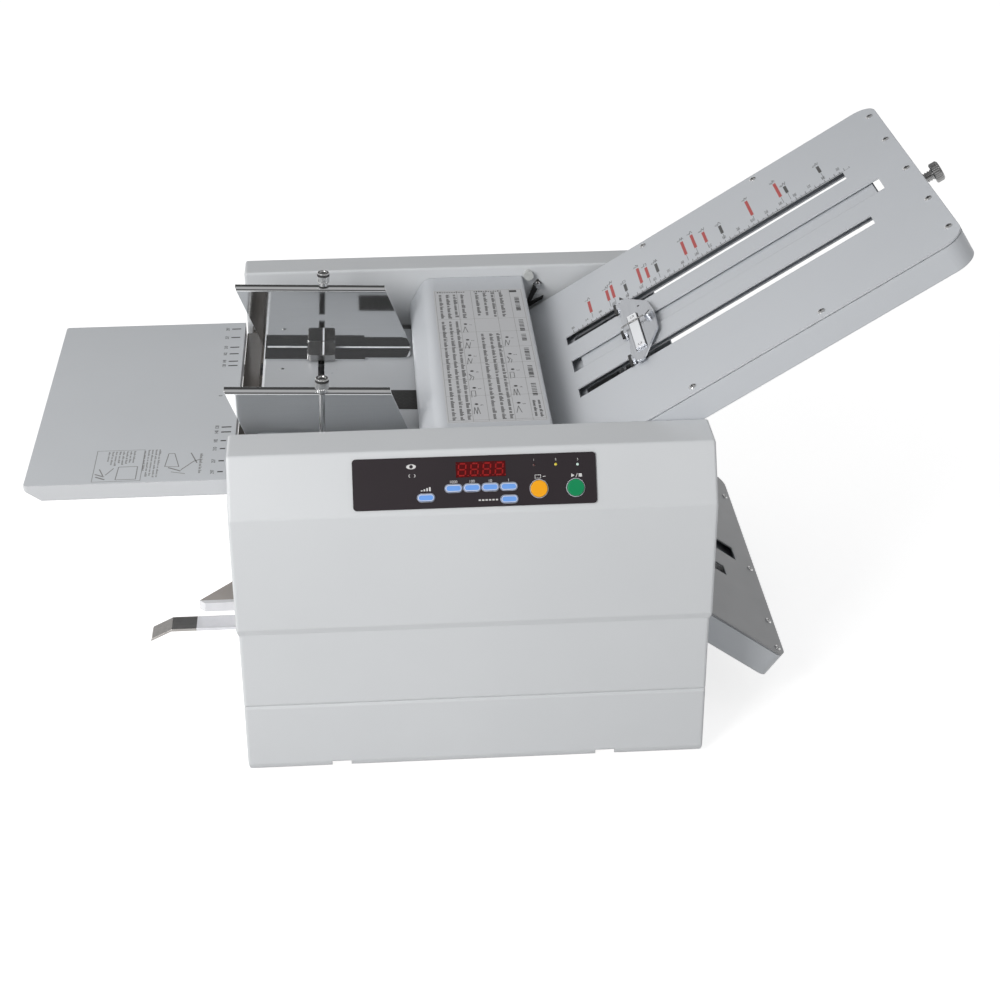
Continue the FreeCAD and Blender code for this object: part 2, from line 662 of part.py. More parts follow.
UPPER_BARS = ("upper_bar_near", "upper_bar_far")
upper_supports = [("(nip_x + %s * cos(upper_slope) + upper_bar * sin(upper_slope))" % place,
                   "(nip_z + %s * sin(upper_slope) - upper_bar * cos(upper_slope))" % place)
                  for place in UPPER_BARS]


def farEnd(points):
    """The same outline in the XZ plane at the covers' right end."""
    return [("cover_length - (%s)" % x, z) for x, z in points]


def sideCover(label, side, inner):
    """A moulded shell: slanted top, belt, groove and bevel outside, a lip hanging down inside."""
    body = newBody(label)

    def across(low, high):
        """Two distances from the centre line as low and high coordinates on this side."""
        return (low, high) if side > 0 else ("-(%s)" % high, "-(%s)" % low)

    upper = [("lower_face", "belt_low"), ("half_depth", "belt_height"),
             ("half_depth", "crease_height"), ("half_depth - slant_run", "cover_height"),
             (inner, "cover_height"), (inner, "belt_low")]
    pad(body, "YZ", "0", "cover_length", mirror(upper, side))
    long = both(ALONG_X, lambda a, b: a.z > value("belt_height + 1"))
    fillet(body, "cover_round", both(long, lambda a, b: not near(abs(a.y), value(inner))))
    fillet(body, "cover_inner_round", both(ALONG_X, at(1, inner), at(2, "cover_height")))
    at_ends = either(at(0, "0"), at(0, "cover_length"))
    fillet(body, "cover_end_round",
           both(at_ends, lambda a, b: min(a.z, b.z) > value("belt_height - 0.1")))
    low, high = across(inner, "lower_face")
    pad(body, "XY", "0", "belt_low", rect("step_in", low, "cover_length - step_in", high))
    fillet(body, "cover_end_round",
           both(ALONG_Z, at(1, "lower_face"), lambda a, b: max(a.z, b.z) < value("belt_low + 0.1")))

    belt = [("-1", "belt_low - 1"), ("step_in", "belt_low - 1"), ("step_in", "belt_low"),
            ("0", "belt_height"), ("-1", "belt_height")]
    groove_low, groove_high = "groove_height - groove_half", "groove_height + groove_half"
    groove = [("step_in + groove_depth", "groove_height"), ("step_in", groove_high),
              ("-1", groove_high), ("-1", groove_low), ("step_in", groove_low)]
    bevel = [("step_in + bevel_in", "-1"), ("step_in + bevel_in", "0"), ("step_in", "bevel_high"),
             ("-1", "bevel_high"), ("-1", "-1")]
    low, high = across(inner + " - 1", "half_depth + 1")
    for shape in (belt, groove, bevel):
        pocket(body, "XZ", low, high, shape, farEnd(shape))
    for shape in (groove, bevel):
        outline = [("half_depth - (%s)" % y, z) for y, z in shape]
        pocket(body, "YZ", "-1", "cover_length + 1", mirror(outline, side))

    wall = "half_depth - cover_wall"
    crease = "crease_height - cover_wall * tan((90 deg - slant_angle) / 2)"
    shoulder = "half_depth - slant_run - cover_wall * tan(slant_angle / 2)"
    lip_end = "cover_height - lip_depth"
    hollow = [(wall, "-1"), (wall, crease), (shoulder, "cover_height - cover_wall"),
              (inner + " + lip_wall", "cover_height - cover_wall"), (inner + " + lip_wall", lip_end),
              (inner + " - 1", lip_end), (inner + " - 1", "-1")]
    pocket(body, "YZ", "cover_end", "cover_length - cover_end", mirror(hollow, side))
    openings = [("lip_cut_left", "lip_cut_right", "lid_top - lip_cut_drop")]
    openings += [(x + " - bar_radius - gap", x + " + bar_radius + gap", z + " + bar_radius + gap")
                 for x, z in upper_supports]
    low, high = across(inner + " - 1", inner + " + lip_wall + 1")
    for left, right, top in openings:
        pocket(body, "XZ", low, high, rect(left, lip_end + " - 1", right, top))
    low, high = across("lower_face - cover_wall", "half_depth")
    for middle in ("notch_left", "notch_right"):
        pocket(body, "XZ", low, high, rect(middle + " - notch_width / 2", "-1",
                                           middle + " + notch_width / 2", "notch_height"))
    return body


front = sideCover("front_cover_shell", -1, "front_inner")
window = block("window_left", "window_low", "-cover_wall - 2",
               "window_right", "window_high", "2", "window")
window.Placement = Placement(Vector(0, 0, 0), Rotation(Vector(1, 0, 0), 1))
slant_cos, slant_sin = "cos(slant_angle)", "sin(slant_angle)"
bind(window, Placement__Rotation__Angle="slant_angle", Placement__Base__x="window_left",
     Placement__Base__y="-half_depth + window_low * %s + (cover_wall + 2) * %s"
     % (slant_cos, slant_sin),
     Placement__Base__z="crease_height + window_low * %s - (cover_wall + 2) * %s"
     % (slant_sin, slant_cos))
finish(cut(front, window), "front_cover")

rear = sideCover("rear_cover", 1, "rear_inner")
pocket(rear, "XZ", "half_depth - 2 * cover_wall", "half_depth + 1",
       rect("inlet_left - gap", "inlet_low - gap",
            "inlet_left + inlet_width + gap", "inlet_low + inlet_height + gap"))
finish(rear, "rear_cover")


# ---- Base pan and feet ----

pan = newBody("base_pan")
pan_edge = "half_depth - cover_wall - gap"
pad(pan, "YZ", "cover_end + gap", "cover_length - cover_end - gap",
    [("-(%s)" % pan_edge, "pan_floor"), (pan_edge, "pan_floor"),
     (pan_edge, "pan_floor + pan_rim"), (pan_edge + " - pan_sheet", "pan_floor + pan_rim"),
     (pan_edge + " - pan_sheet", "pan_top"), ("-(%s - pan_sheet)" % pan_edge, "pan_top"),
     ("-(%s - pan_sheet)" % pan_edge, "pan_floor + pan_rim"),
     ("-(%s)" % pan_edge, "pan_floor + pan_rim")])
finish(pan, "base_pan")

feet = []
for foot_x in ("foot_left", "foot_right"):
    for side, name in SIDES:
        feet.append(disc("foot_radius", foot_x, "%d * foot_reach" % side,
                         "-foot_drop", "pan_floor", "foot"))
finish(group("rubber_feet", feet), "rubber_feet")


# ---- Side plates, bars, bushes ----

LOWER_BARS = ("lower_bar_near", "lower_bar_far")
bars = [("pan_bar_left", "pan_bar_z"), ("pan_bar_right", "pan_bar_z"), ("pad_bar_x", "pad_bar_z"),
        ("lid_bar_left", "lid_top - lid_sheet - gap - bar_radius"),
        ("lid_bar_right", "lid_top - lid_sheet - gap - bar_radius")]
bars += upper_supports
for place in LOWER_BARS:
    bars.append(("low_x + %s * cos(lower_slope) - upper_bar * sin(lower_slope)" % place,
                 "low_z - %s * sin(lower_slope) - upper_bar * cos(lower_slope)" % place))

ROLLERS = (("1", "roller_1_x", "roller_1_z"), ("2", "roller_x", "roller_z"),
           ("3", "roller_3_x", "roller_3_z"), ("4", "roller_4_x", "roller_4_z"))
SHAFTS = [(x, z, "journal_radius") for number, x, z in ROLLERS]
SHAFTS += [("feed_x", "feed_z", "feed_shaft_radius"), ("lift_x", "lift_z", "lift_radius")]


def sidePlate(label, start, end):
    body = newBody(label)
    outline = [("frame_left", "pan_top"), ("frame_right", "pan_top"),
               ("frame_right", "frame_top - frame_cut"), ("frame_right - frame_cut", "frame_top"),
               ("shoulder_end + shoulder_rise", "frame_top"), ("shoulder_end", "frame_shoulder"),
               ("frame_left", "frame_shoulder")]
    pad(body, "XZ", start, end, outline)
    holes = [(x, z, radius + " + bush_wall + run") for x, z, radius in SHAFTS]
    holes += [(x, z, "screw_radius + screw_play") for x, z in bars]
    holes.append(("pivot_x", "pivot_z", "pivot_radius + run"))
    pocket(body, "XZ", start + " - 1", end + " + 1", *holes)
    return finish(body, label)


sidePlate("side_frame_front", "-frame_front - frame_sheet", "-frame_front")
sidePlate("side_frame_rear", "frame_rear", "frame_rear + frame_sheet")

finish(group("tie_bars", [roundBar("bar_radius", x, z, "-frame_front", "frame_rear")
                          for x, z in bars]), "tie_bars")

screws = []
for x, z in bars:
    for inner, sign in (("frame_rear", 1), ("-frame_front", -1)):
        outer = "%s + %d * frame_sheet" % (inner, sign)
        head_end = "%s + %d * screw_head" % (outer, sign)
        shank = (inner, outer) if sign > 0 else (outer, inner)
        head = (outer, head_end) if sign > 0 else (head_end, outer)
        screws.append(fuse(roundBar("screw_radius", x, z, *shank),
                           roundBar("screw_head_radius", x, z, *head)))
finish(group("frame_screws", screws), "frame_screws")

bushes = []
for x, z, radius in SHAFTS:
    sleeve = radius + " + bush_wall"
    for inner, sign in (("frame_rear", 1), ("-frame_front", -1)):
        outer = "%s + %d * frame_sheet" % (inner, sign)
        lip = "%s - %d * bush_flange" % (inner, sign)
        low, high = (lip, outer) if sign > 0 else (outer, lip)
        flange = (lip, inner) if sign > 0 else (inner, lip)
        bushes.append(cut(fuse(roundBar(sleeve, x, z, low, high),
                               roundBar(sleeve + " + bush_rim", x, z, *flange)),
                          roundBar(radius + " + run", x, z, low + " - 1", high + " + 1")))
finish(group("roller_bearings", bushes), "roller_bearings")


# ---- End panels ----

panel_front, panel_rear = "-(frame_front - gap)", "frame_rear - gap"


lip_low = "cover_height - lip_depth - gap"


def endPanel(label, start, top, flange_start):
    """A sheet behind the covers' end walls with flanges along the side plates; narrower
    where it stands between the covers' lips."""
    body = newBody(label)
    pad(body, "YZ", start, start + " + panel_sheet",
        rect(panel_front, "pan_top + gap", panel_rear, lip_low))
    for low, high in ((panel_front, panel_front + " + panel_sheet"),
                      (panel_rear + " - panel_sheet", panel_rear)):
        pad(body, "YZ", flange_start, flange_start + " + panel_flange",
            rect(low, "pan_top + gap", high, lip_low))
    pad(body, "YZ", start, start + " + panel_sheet",
        rect("-(front_inner - gap)", lip_low + " - 1", "rear_inner - gap", top))
    return body


left_panel = endPanel("left_end_panel", "cover_end + gap", "left_panel_top",
                      "cover_end + gap + panel_sheet - 0.01")
notch_inner = "-(frame_front - lever_y - lever_width - lever_play)"
notch_outer = "-(frame_front - lever_y + lever_play)"
lever_cut = rect(notch_outer, "lift_z - lever_swing", notch_inner, "exit_low - guard_height - gap")
rail_hole = "(rail_width / 2 + rail_play)"
rail_cuts = [rect("%d * rail_centre - %s" % (side, rail_hole), "rail_top - rail_height - rail_play",
                  "%d * rail_centre + %s" % (side, rail_hole), "rail_top + rail_play")
             for side, name in SIDES]
pocket(left_panel, "YZ", "cover_end - 1", "cover_end + 4", lever_cut, *rail_cuts,
       rect("-exit_half", "exit_low", "exit_half", "exit_high"))
pad(left_panel, "XY", "left_panel_top - panel_sheet", "left_panel_top",
    rect("apron_start", "-exit_half", "apron_end", "exit_half"))
guard_front = "-(frame_front - lever_y - lever_width - 2)"
pad(left_panel, "XY", "exit_low - guard_height", "exit_low - gap",
    [("cover_end + gap", guard_front), ("-guard_reach + guard_corner", guard_front),
     ("-guard_reach", guard_front + " + guard_corner"), ("-guard_bend", guard_front + " + guard_short"),
     ("cover_end + gap", guard_front + " + guard_wide")])
finish(left_panel, "left_end_panel")

right_start = "cover_length - cover_end - gap - panel_sheet"
right_panel = endPanel("right_end_panel", right_start, "right_panel_top",
                       right_start + " - panel_flange + 0.01")
middle = "(%s - low_x) * tan(lower_slope)" % right_start
plate_high = "low_z - %s + plate_face / cos(lower_slope)" % middle
plate_low = "low_z - %s + plate_back / cos(lower_slope)" % middle
pocket(right_panel, "YZ", right_start + " - panel_flange - 1", "cover_length - cover_end",
       rect("-plate_half - 1", plate_low + " - 4", "plate_half + 1", plate_high + " + 14"))
finish(right_panel, "right_end_panel")


# ---- Feed tray ----

tray = newBody("feed_tray")
tray_low = "tray_top - tray_rim"
pad(tray, "XY", tray_low, "tray_top", rect("-tray_reach", "-tray_half", "-tray_gap", "tray_half"))
pocket(tray, "XY", tray_low + " - 1", "tray_top - tray_sheet",
       rect("-tray_reach + tray_sheet", "-tray_half + tray_sheet",
            "-tray_gap - tray_sheet", "tray_half - tray_sheet"))
fillet(tray, "tray_corner - tray_sheet", both(ALONG_Z, at(0, "tray_reach - tray_sheet")))
fillet(tray, "tray_corner", both(ALONG_Z, at(0, "tray_reach")))
pocket(tray, "XZ", "-tray_half - 1", "tray_half + 1",
       [("-tray_reach - 1", "tray_top - tray_lip"), ("-tray_reach", "tray_top - tray_lip"),
        ("-tray_reach + tray_chamfer", tray_low), ("-tray_reach + tray_chamfer", tray_low + " - 1"),
        ("-tray_reach - 1", tray_low + " - 1")])
finish(tray, "feed_tray")

rails = []
for side, name in SIDES:
    body = newBody("rail_" + name)
    low = "%d * rail_centre - rail_width / 2" % side
    pad(body, "XZ", low, low + " + rail_width",
        [("-tray_reach + rail_start", "tray_top - tray_sheet"),
         ("-tray_gap - tray_sheet", "tray_top - tray_sheet"),
         ("-tray_gap - tray_sheet", "rail_top"), ("rail_end", "rail_top"),
         ("rail_end", "rail_top - rail_height"),
         ("-tray_reach + rail_deep", "rail_top - rail_height"),
         ("-tray_reach + rail_start", "rail_top + rail_nose")])
    rails.append(body)
finish(group("tray_rails", rails), "tray_rails")

saddles = newBody("tray_rail_guide")
saddle_right = "saddle_left + saddle_length"
plate_z = "saddle_floor - saddle_wall"
pad(saddles, "XY", plate_z + " - saddle_sheet", plate_z,
    rect("saddle_left", panel_front, saddle_right, panel_rear))
for side, name in SIDES:
    inner = "(rail_width / 2 + gap)"
    low = "%d * rail_centre - %s - saddle_wall" % (side, inner)
    high = "%d * rail_centre + %s + saddle_wall" % (side, inner)
    pad(saddles, "XY", plate_z + " - 0.01", "saddle_floor + saddle_rise",
        rect("saddle_left", low, saddle_right, high))
    pocket(saddles, "XY", "saddle_floor", "saddle_floor + saddle_rise + 1",
           rect("saddle_left - 1", low + " + saddle_wall",
                saddle_right + " + 1", high + " - saddle_wall"))
for low, high in ((panel_front, panel_front + " + saddle_sheet"),
                  (panel_rear + " - saddle_sheet", panel_rear)):
    pad(saddles, "XY", plate_z + " - saddle_sheet - saddle_flange", plate_z + " - saddle_sheet + 0.01",
        rect("saddle_left", low, saddle_right, high))
finish(saddles, "tray_rail_guide")


# ---- Feed table: drawn with its top at zero, then tilted ----

table = newBody("feed_table")
pad(table, "XZ", "-table_half", "table_half",
    rect("0", "-table_sheet", "table_length", "0"))
lug_left, lug_right = "pin_place - lug_half", "pin_place + lug_half"
flange = [("0", "-0.01"), ("table_length", "-0.01"), ("table_length", "-table_flange"),
          (lug_right, "-table_flange"), (lug_right, "-table_lug"), (lug_left, "-table_lug"),
          (lug_left, "-table_flange"), ("pivot_in + pivot_ear + ear_slope", "-table_flange"),
          ("pivot_in + pivot_ear", "-pivot_drop - pivot_below"), ("0", "-pivot_drop - pivot_below")]
for low, high in (("-table_half", "-table_half + table_sheet"),
                  ("table_half - table_sheet", "table_half")):
    pad(table, "XZ", low, high, flange)
pad(table, "YZ", "0", "table_sheet",
    rect("-table_half", "-pivot_drop + 3", "table_half", "-0.01"))
for side, (frame_inner, start) in ((-1, ("frame_front", "table_half")),
                                   (1, ("frame_rear", "table_half"))):
    for x, z, radius, reach in (
            ("pivot_in", "-pivot_drop", "pivot_radius", frame_inner + " + frame_sheet"),
            ("pin_place", "-pin_drop", "pin_radius", frame_inner + " - link_inset + link_sheet")):
        ends = (start + " - 1", reach)
        low, high = ends if side > 0 else ("-(%s)" % ends[1], "-(%s)" % ends[0])
        pad(table, "XZ", low, high, (x, z, radius))
pocket(table, "XY", "-table_sheet - 1", "1",
       *[rect("slot_place - slot_width / 2", low, "slot_place + slot_width / 2", high)
         for low, high in (("slot_inner", "slot_half"), ("-slot_half", "-slot_inner"),
                           ("-slot_middle", "slot_middle"))])
pocket(table, "XY", "-pad_deep", "1",
       rect("pad_place - pad_length / 2", "-pad_width / 2",
            "pad_place + pad_length / 2", "pad_width / 2"))
finish(table, "feed_table", "table")


# ---- Paper guides, drawn on the table ----

for side, name in SIDES:
    guide = newBody("guide_" + name)

    def span(near_side, far_side):
        """Two distances from the centre line as low and high coordinates on this side."""
        if side > 0:
            return near_side, far_side
        return "-(%s)" % far_side, "-(%s)" % near_side

    low, high = span("guide_half", "guide_back")
    pad(guide, "XZ", low, high, rect("-guide_lean", "gap", "guide_length", "guide_height"))
    hem_start, hem_under = ("guide_half", "guide_back") if side > 0 else ("-guide_back", "-guide_half")
    pad(guide, "XZ", hem_start, hem_start + " + guide_hem",
        rect("-guide_lean", "guide_height - guide_sheet", "guide_length", "guide_height"))
    fillet(guide, "guide_bend - guide_sheet",
           both(ALONG_X, at(1, hem_under), at(2, "guide_height - guide_sheet")))
    fillet(guide, "guide_bend", both(ALONG_X, at(1, hem_start), at(2, "guide_height")))
    pocket(guide, "XZ", hem_start + " - 1", hem_start + " + guide_hem + 1",
           [("-guide_lean - 1", "gap - 1"), ("0", "gap - 1"), ("0", "gap"),
            ("-guide_lean", "guide_height"), ("-guide_lean - 1", "guide_height")],
           [("guide_length", "gap"), ("guide_length + 1", "gap"),
            ("guide_length + 1", "guide_height + 1"),
            ("guide_length - guide_lean", "guide_height + 1"),
            ("guide_length - guide_lean", "guide_height")])
    edge = [("1", "guide_half + 0.5"), ("guide_length - 2", "guide_half + 0.5"),
            ("guide_length - 2", "guide_half - guide_flange_narrow"),
            ("guide_step", "guide_half - guide_flange_narrow"),
            ("guide_step", "guide_half - guide_flange"), ("1", "guide_half - guide_flange")]
    pad(guide, "XY", "gap", "gap + guide_sheet", [(x, "%d * (%s)" % (side, y)) for x, y in edge])
    fillet(guide, "guide_round", both(ALONG_Z, at(0, "guide_length - 2"),
                                      at(1, "guide_half - guide_flange_narrow")))
    low, high = span("guide_half + 1", "rod_y + rod_radius + 2")
    pad(guide, "XZ", low, high,
        rect("rod_place - rod_boss", "gap", "rod_place + rod_boss", "boss_height"))
    rod = ("rod_place", "%d * rod_y" % side, "rod_radius + run")
    pocket(guide, "XY", "rod_foot", "guide_height + 1", rod)
    stud = ("slot_place", "%d * (guide_half - block_width / 2)" % side, "stud_radius + run")
    pocket(guide, "XY", "-1", "gap + guide_sheet + 0.5", stud)
    finish(guide, "guide_" + name, "table")

    clamp = newBody("guide_block_" + name)
    low, high = span("guide_half - block_width", "guide_half - gap")
    floor = "gap + guide_sheet"
    pad(clamp, "XY", floor, floor + " + block_height",
        rect("slot_place - block_length / 2", low, "slot_place + block_length / 2", high))
    fillet(clamp, "3", ALONG_Z)
    pad(clamp, "XY", "-table_sheet - gap - 1", floor + " + 1",
        (stud[0], stud[1], "stud_radius"))
    pad(clamp, "XY", "-table_sheet - gap - 3", "-table_sheet - gap",
        (stud[0], stud[1], "slot_width + 2"))
    finish(clamp, "guide_block_" + name, "table")

    knob = newBody("guide_knob_" + name)
    collar = "guide_height + gap"
    nut = collar + " + collar_height"
    pad(knob, "XY", "rod_foot + gap", collar + " + nut_height", ("0", "0", "rod_radius"))
    pad(knob, "XY", collar, nut, ("0", "0", "nut_radius - collar_in"))
    pad(knob, "XY", nut, nut + " + nut_height", ("0", "0", "nut_radius"))
    x, z = "rod_place * cos(table_slope)", "-rod_place * sin(table_slope)"
    finish(knob, "guide_knob_" + name, "table", (x, rod[1], z))


# ---- Release lever, lift shaft and links ----

shaft_parts = [roundBar("lift_radius", "lift_x", "lift_z", "-frame_front - frame_sheet - shaft_out",
                        "frame_rear + frame_sheet + shaft_out")]
for side, inner in ((-1, "frame_front"), (1, "frame_rear")):
    near_face, far_face = inner + " - arm_inset", inner + " - arm_inset + arm_width"
    reach = inner + " - link_inset + link_sheet"
    arm = (near_face, far_face) if side > 0 else ("-(%s)" % far_face, "-(%s)" % near_face)
    peg = (near_face, reach) if side > 0 else ("-(%s)" % reach, "-(%s)" % near_face)
    shaft_parts.append(block("link_x - arm_rim", arm[0], "lift_z - arm_rim",
                             "lift_x + arm_rim", arm[1], "lift_z + arm_rim"))
    shaft_parts.append(roundBar("pin_radius", "link_x", "lift_z", *peg))
finish(fuse(*shaft_parts), "lift_shaft")

lever = newBody("release_lever")
lever_low, lever_high = "-(frame_front - lever_y)", "-(frame_front - lever_y - lever_width)"
pad(lever, "XZ", lever_low, lever_high,
    [("lift_x", "lift_z - lever_sheet / 2"), ("lift_x", "lift_z + lever_sheet / 2"),
     ("-lever_reach", "lift_z + lever_sheet / 2"),
     ("-lever_reach - lever_tip", "lift_z + lever_sheet / 2 - lever_fall"),
     ("-lever_reach - lever_tip - 1", "lift_z - lever_sheet / 2 - lever_fall"),
     ("-lever_reach - 0.6", "lift_z - lever_sheet / 2")])
pad(lever, "XZ", lever_low, lever_high, ("lift_x", "lift_z", "lift_radius + lever_hub"))
pocket(lever, "XZ", lever_low + " - 1", lever_high + " + 1", ("lift_x", "lift_z", "lift_radius + run"))
finish(lever, "release_lever")

links = []
for side, inner in ((-1, "frame_front"), (1, "frame_rear")):
    link = newBody("link")
    ends = (inner + " - link_inset", inner + " - link_inset + link_sheet")
    low, high = ends if side > 0 else ("-(%s)" % ends[1], "-(%s)" % ends[0])
    pad(link, "XZ", low, high, rect("link_x - link_width / 2", "lift_z - 6",
                                    "link_x + link_width / 2", "link_z + 4.5"))
    for z in ("lift_z", "link_z"):
        pocket(link, "XZ", low + " - 1", high + " + 1",
               rect("link_x - pin_radius - 1", z + " - pin_radius - 0.15",
                    "link_x + pin_radius + 1", z + " + pin_radius + 0.15"))
    links.append(link)
finish(group("lift_links", links), "lift_links")


# ---- Feed roller ----

feed_bar = roundBar("feed_shaft_radius", "feed_x", "feed_z", "-frame_front - frame_sheet - shaft_out",
                    "frame_rear + frame_sheet + shaft_out")
finish(group("feed_shaft", [feed_bar]), "feed_shaft")

tyres = []
for number in (-1, 0, 1):
    centre = "%d * tyre_pitch" % number
    tyres.append(cut(roundBar("feed_radius", "feed_x", "feed_z", centre + " - tyre_width / 2",
                              centre + " + tyre_width / 2"),
                     roundBar("feed_shaft_radius", "feed_x", "feed_z", centre + " - tyre_width",
                              centre + " + tyre_width")))
finish(group("feed_tyres", tyres), "feed_tyres")

pad_top = "feed_z - feed_radius - nip_gap"
separator = newBody("separator_pad")
pad(separator, "XZ", "-pad_half", "pad_half",
    [("pad_bar_x - 6", "pad_bar_z + bar_radius"), ("pad_bar_x + 6", "pad_bar_z + bar_radius"),
     ("pad_bar_x + 8", pad_top + " - 4"), ("feed_x", pad_top), ("feed_x - 4", pad_top),
     ("feed_x - 4", pad_top + " - 4")])
finish(separator, "separator_pad")


# ---- Fold rollers and gears ----

for number, x, z in ROLLERS:
    roller = newBody("fold_roller_" + number)
    pad(roller, "XZ", "-frame_front - frame_sheet - journal_out", "gear_end + 1",
        ("0", "0", "journal_radius"))
    pad(roller, "XZ", "-roller_half", "roller_half", ("0", "0", "roller_radius"))
    finish(roller, "fold_roller_" + number, place=(x, "0", z))


def gearOutline(teeth, turn):
    """Points of an involute gear in the XZ plane, with one tooth at an angle in degrees."""
    module, backlash = value("gear_module"), value("gear_backlash")
    pressure = math.radians(20)
    pitch = module * teeth / 2
    base = pitch * math.cos(pressure)
    root, tip = pitch - 1.25 * module, pitch + module
    half = (math.pi * module / 2 - backlash) / (2 * pitch)
    start = max(base, root)
    radii = [start + (tip - start) * step / 4 for step in range(5)]

    def flank(radius):
        angle = math.acos(min(1, base / radius))
        return half + math.tan(pressure) - pressure - math.tan(angle) + angle

    side = [(radius, flank(radius)) for radius in radii]
    if root < start:
        side.insert(0, (root, flank(start)))
    points = []
    for tooth in range(teeth):
        middle = math.radians(turn) + 2 * math.pi * tooth / teeth
        tooth_points = [(r, middle - a) for r, a in side]
        tooth_points += [(r, middle + a) for r, a in reversed(side)]
        points += [Vector(r * math.cos(a), 0, r * math.sin(a)) for r, a in tooth_points]
    return points


def gearShape(teeth, bore, turn):
    points = gearOutline(int(teeth), turn)
    face = Part.Face(Part.makePolygon(points + points[:1]))
    solid = face.extrude(Vector(0, value("gear_width"), 0))
    if bore:
        hole = Part.makeCylinder(bore, value("gear_width") + 2, Vector(0, -1, 0), Vector(0, 1, 0))
        solid = solid.cut(hole)
    return solid


def meshedTurn(direction, own_teeth, other_teeth, other_turn):
    """The turn that puts a gap opposite the tooth of a gear seen in that direction."""
    phase = (direction - other_turn) * other_teeth / 360
    return direction + 180 - (0.5 - phase) * 360 / own_teeth


gear_count, pinion_count = value("gear_teeth"), value("pinion_teeth")
fourth = -90 + value("third_turn")
TURNS = {"2": 0.0,
         "1": meshedTurn(90 + value("upper_slope"), gear_count, gear_count, 0.0),
         "3": meshedTurn(value("second_turn"), gear_count, gear_count, 0.0),
         "4": meshedTurn(fourth, gear_count, gear_count, 0.0)}
for number, x, z in ROLLERS:
    gear = doc.addObject("Part::Feature", "gear_" + number)
    gear.Shape = gearShape(gear_count, value("journal_radius"), TURNS[number])
    finish(gear, "roller_gear_" + number, place=(x, "gear_start", z))

pinion_turn = meshedTurn(value("pinion_turn"), pinion_count, gear_count, TURNS["4"])
pinion = doc.addObject("Part::Feature", "pinion")
pinion_shaft = Part.makeCylinder(value("motor_shaft"), value("motor_start + 15 - gear_start"),
                                 Vector(0, 0, 0), Vector(0, 1, 0))
pinion.Shape = gearShape(pinion_count, 0, pinion_turn).fuse(pinion_shaft)
finish(pinion, "motor_pinion", place=("pinion_x", "gear_start", "pinion_z"))

motor_end = "motor_start + motor_length"
motor = newBody("drive_motor")
pad(motor, "XZ", "motor_start", motor_end, ("0", "0", "motor_radius"))
pad(motor, "XZ", motor_end + " - 0.01", motor_end + " + 3", ("0", "0", "motor_radius / 3"))
for x, z in (("leg_place", "0"), ("0", "-leg_place"), ("-leg_place", "0")):
    pad(motor, "XZ", "frame_rear + frame_sheet", "motor_start + 0.01", (x, z, "leg_radius"))
pocket(motor, "XZ", "motor_start - 1", "motor_start + 16", ("0", "0", "motor_shaft + run"))
finish(motor, "drive_motor", place=("pinion_x", "0", "pinion_z"))


# ---- Exit chute ----

chute = newBody("exit_chute")
slope = "chute_rise / (chute_right - chute_left)"


def chuteStrip(left, right):
    """The sloping sheet between two places along X."""
    low = "exit_low + gap + (%s - chute_left) * %s" % (left, slope)
    high = "exit_low + gap + (%s - chute_left) * %s" % (right, slope)
    return [(left, low), (right, high), (right, high + " + chute_sheet"),
            (left, low + " + chute_sheet")]


pad(chute, "XZ", "-chute_half", "chute_half", chuteStrip("chute_left", "chute_right"))
pad(chute, "XZ", panel_front, panel_rear, chuteStrip("ear_left", "ear_right"))
finish(chute, "exit_chute")


# ---- Loose cover over the rollers ----

def lidOutline(inset):
    """Outer line of the loose cover, or the same line moved inwards."""
    return [("lid_right - " + inset, "lid_lip"), ("lid_right - " + inset, "lid_top - " + inset),
            ("lid_left + lid_slope + %s" % inset, "lid_top - " + inset),
            ("lid_left + " + inset, "lid_skirt + lid_fold"), ("lid_left + " + inset, "lid_skirt")]


lid = newBody("top_cover")
pad(lid, "XZ", "-(front_inner - 0.5)", "rear_inner - 0.5",
    lidOutline("0") + list(reversed(lidOutline("lid_sheet"))))
fillet(lid, "lid_edge", both(ALONG_Y, at(0, "lid_right"), at(2, "lid_top")))
fillet(lid, "lid_round", both(ALONG_Y, at(0, "lid_left + lid_slope"), at(2, "lid_top")))
fillet(lid, "lid_round - lid_sheet", both(ALONG_Y, at(0, "lid_left + lid_slope + lid_sheet"),
                                          at(2, "lid_top - lid_sheet")))
fillet(lid, "lid_fold_round", both(ALONG_Y, at(0, "lid_left"), at(2, "lid_skirt + lid_fold")))
finish(lid, "top_cover")


# ---- Upper fold plate: drawn with its channel's middle at zero ----

def plateOutline(start, end, half):
    return rect(start, "-(%s)" % half, end, half)


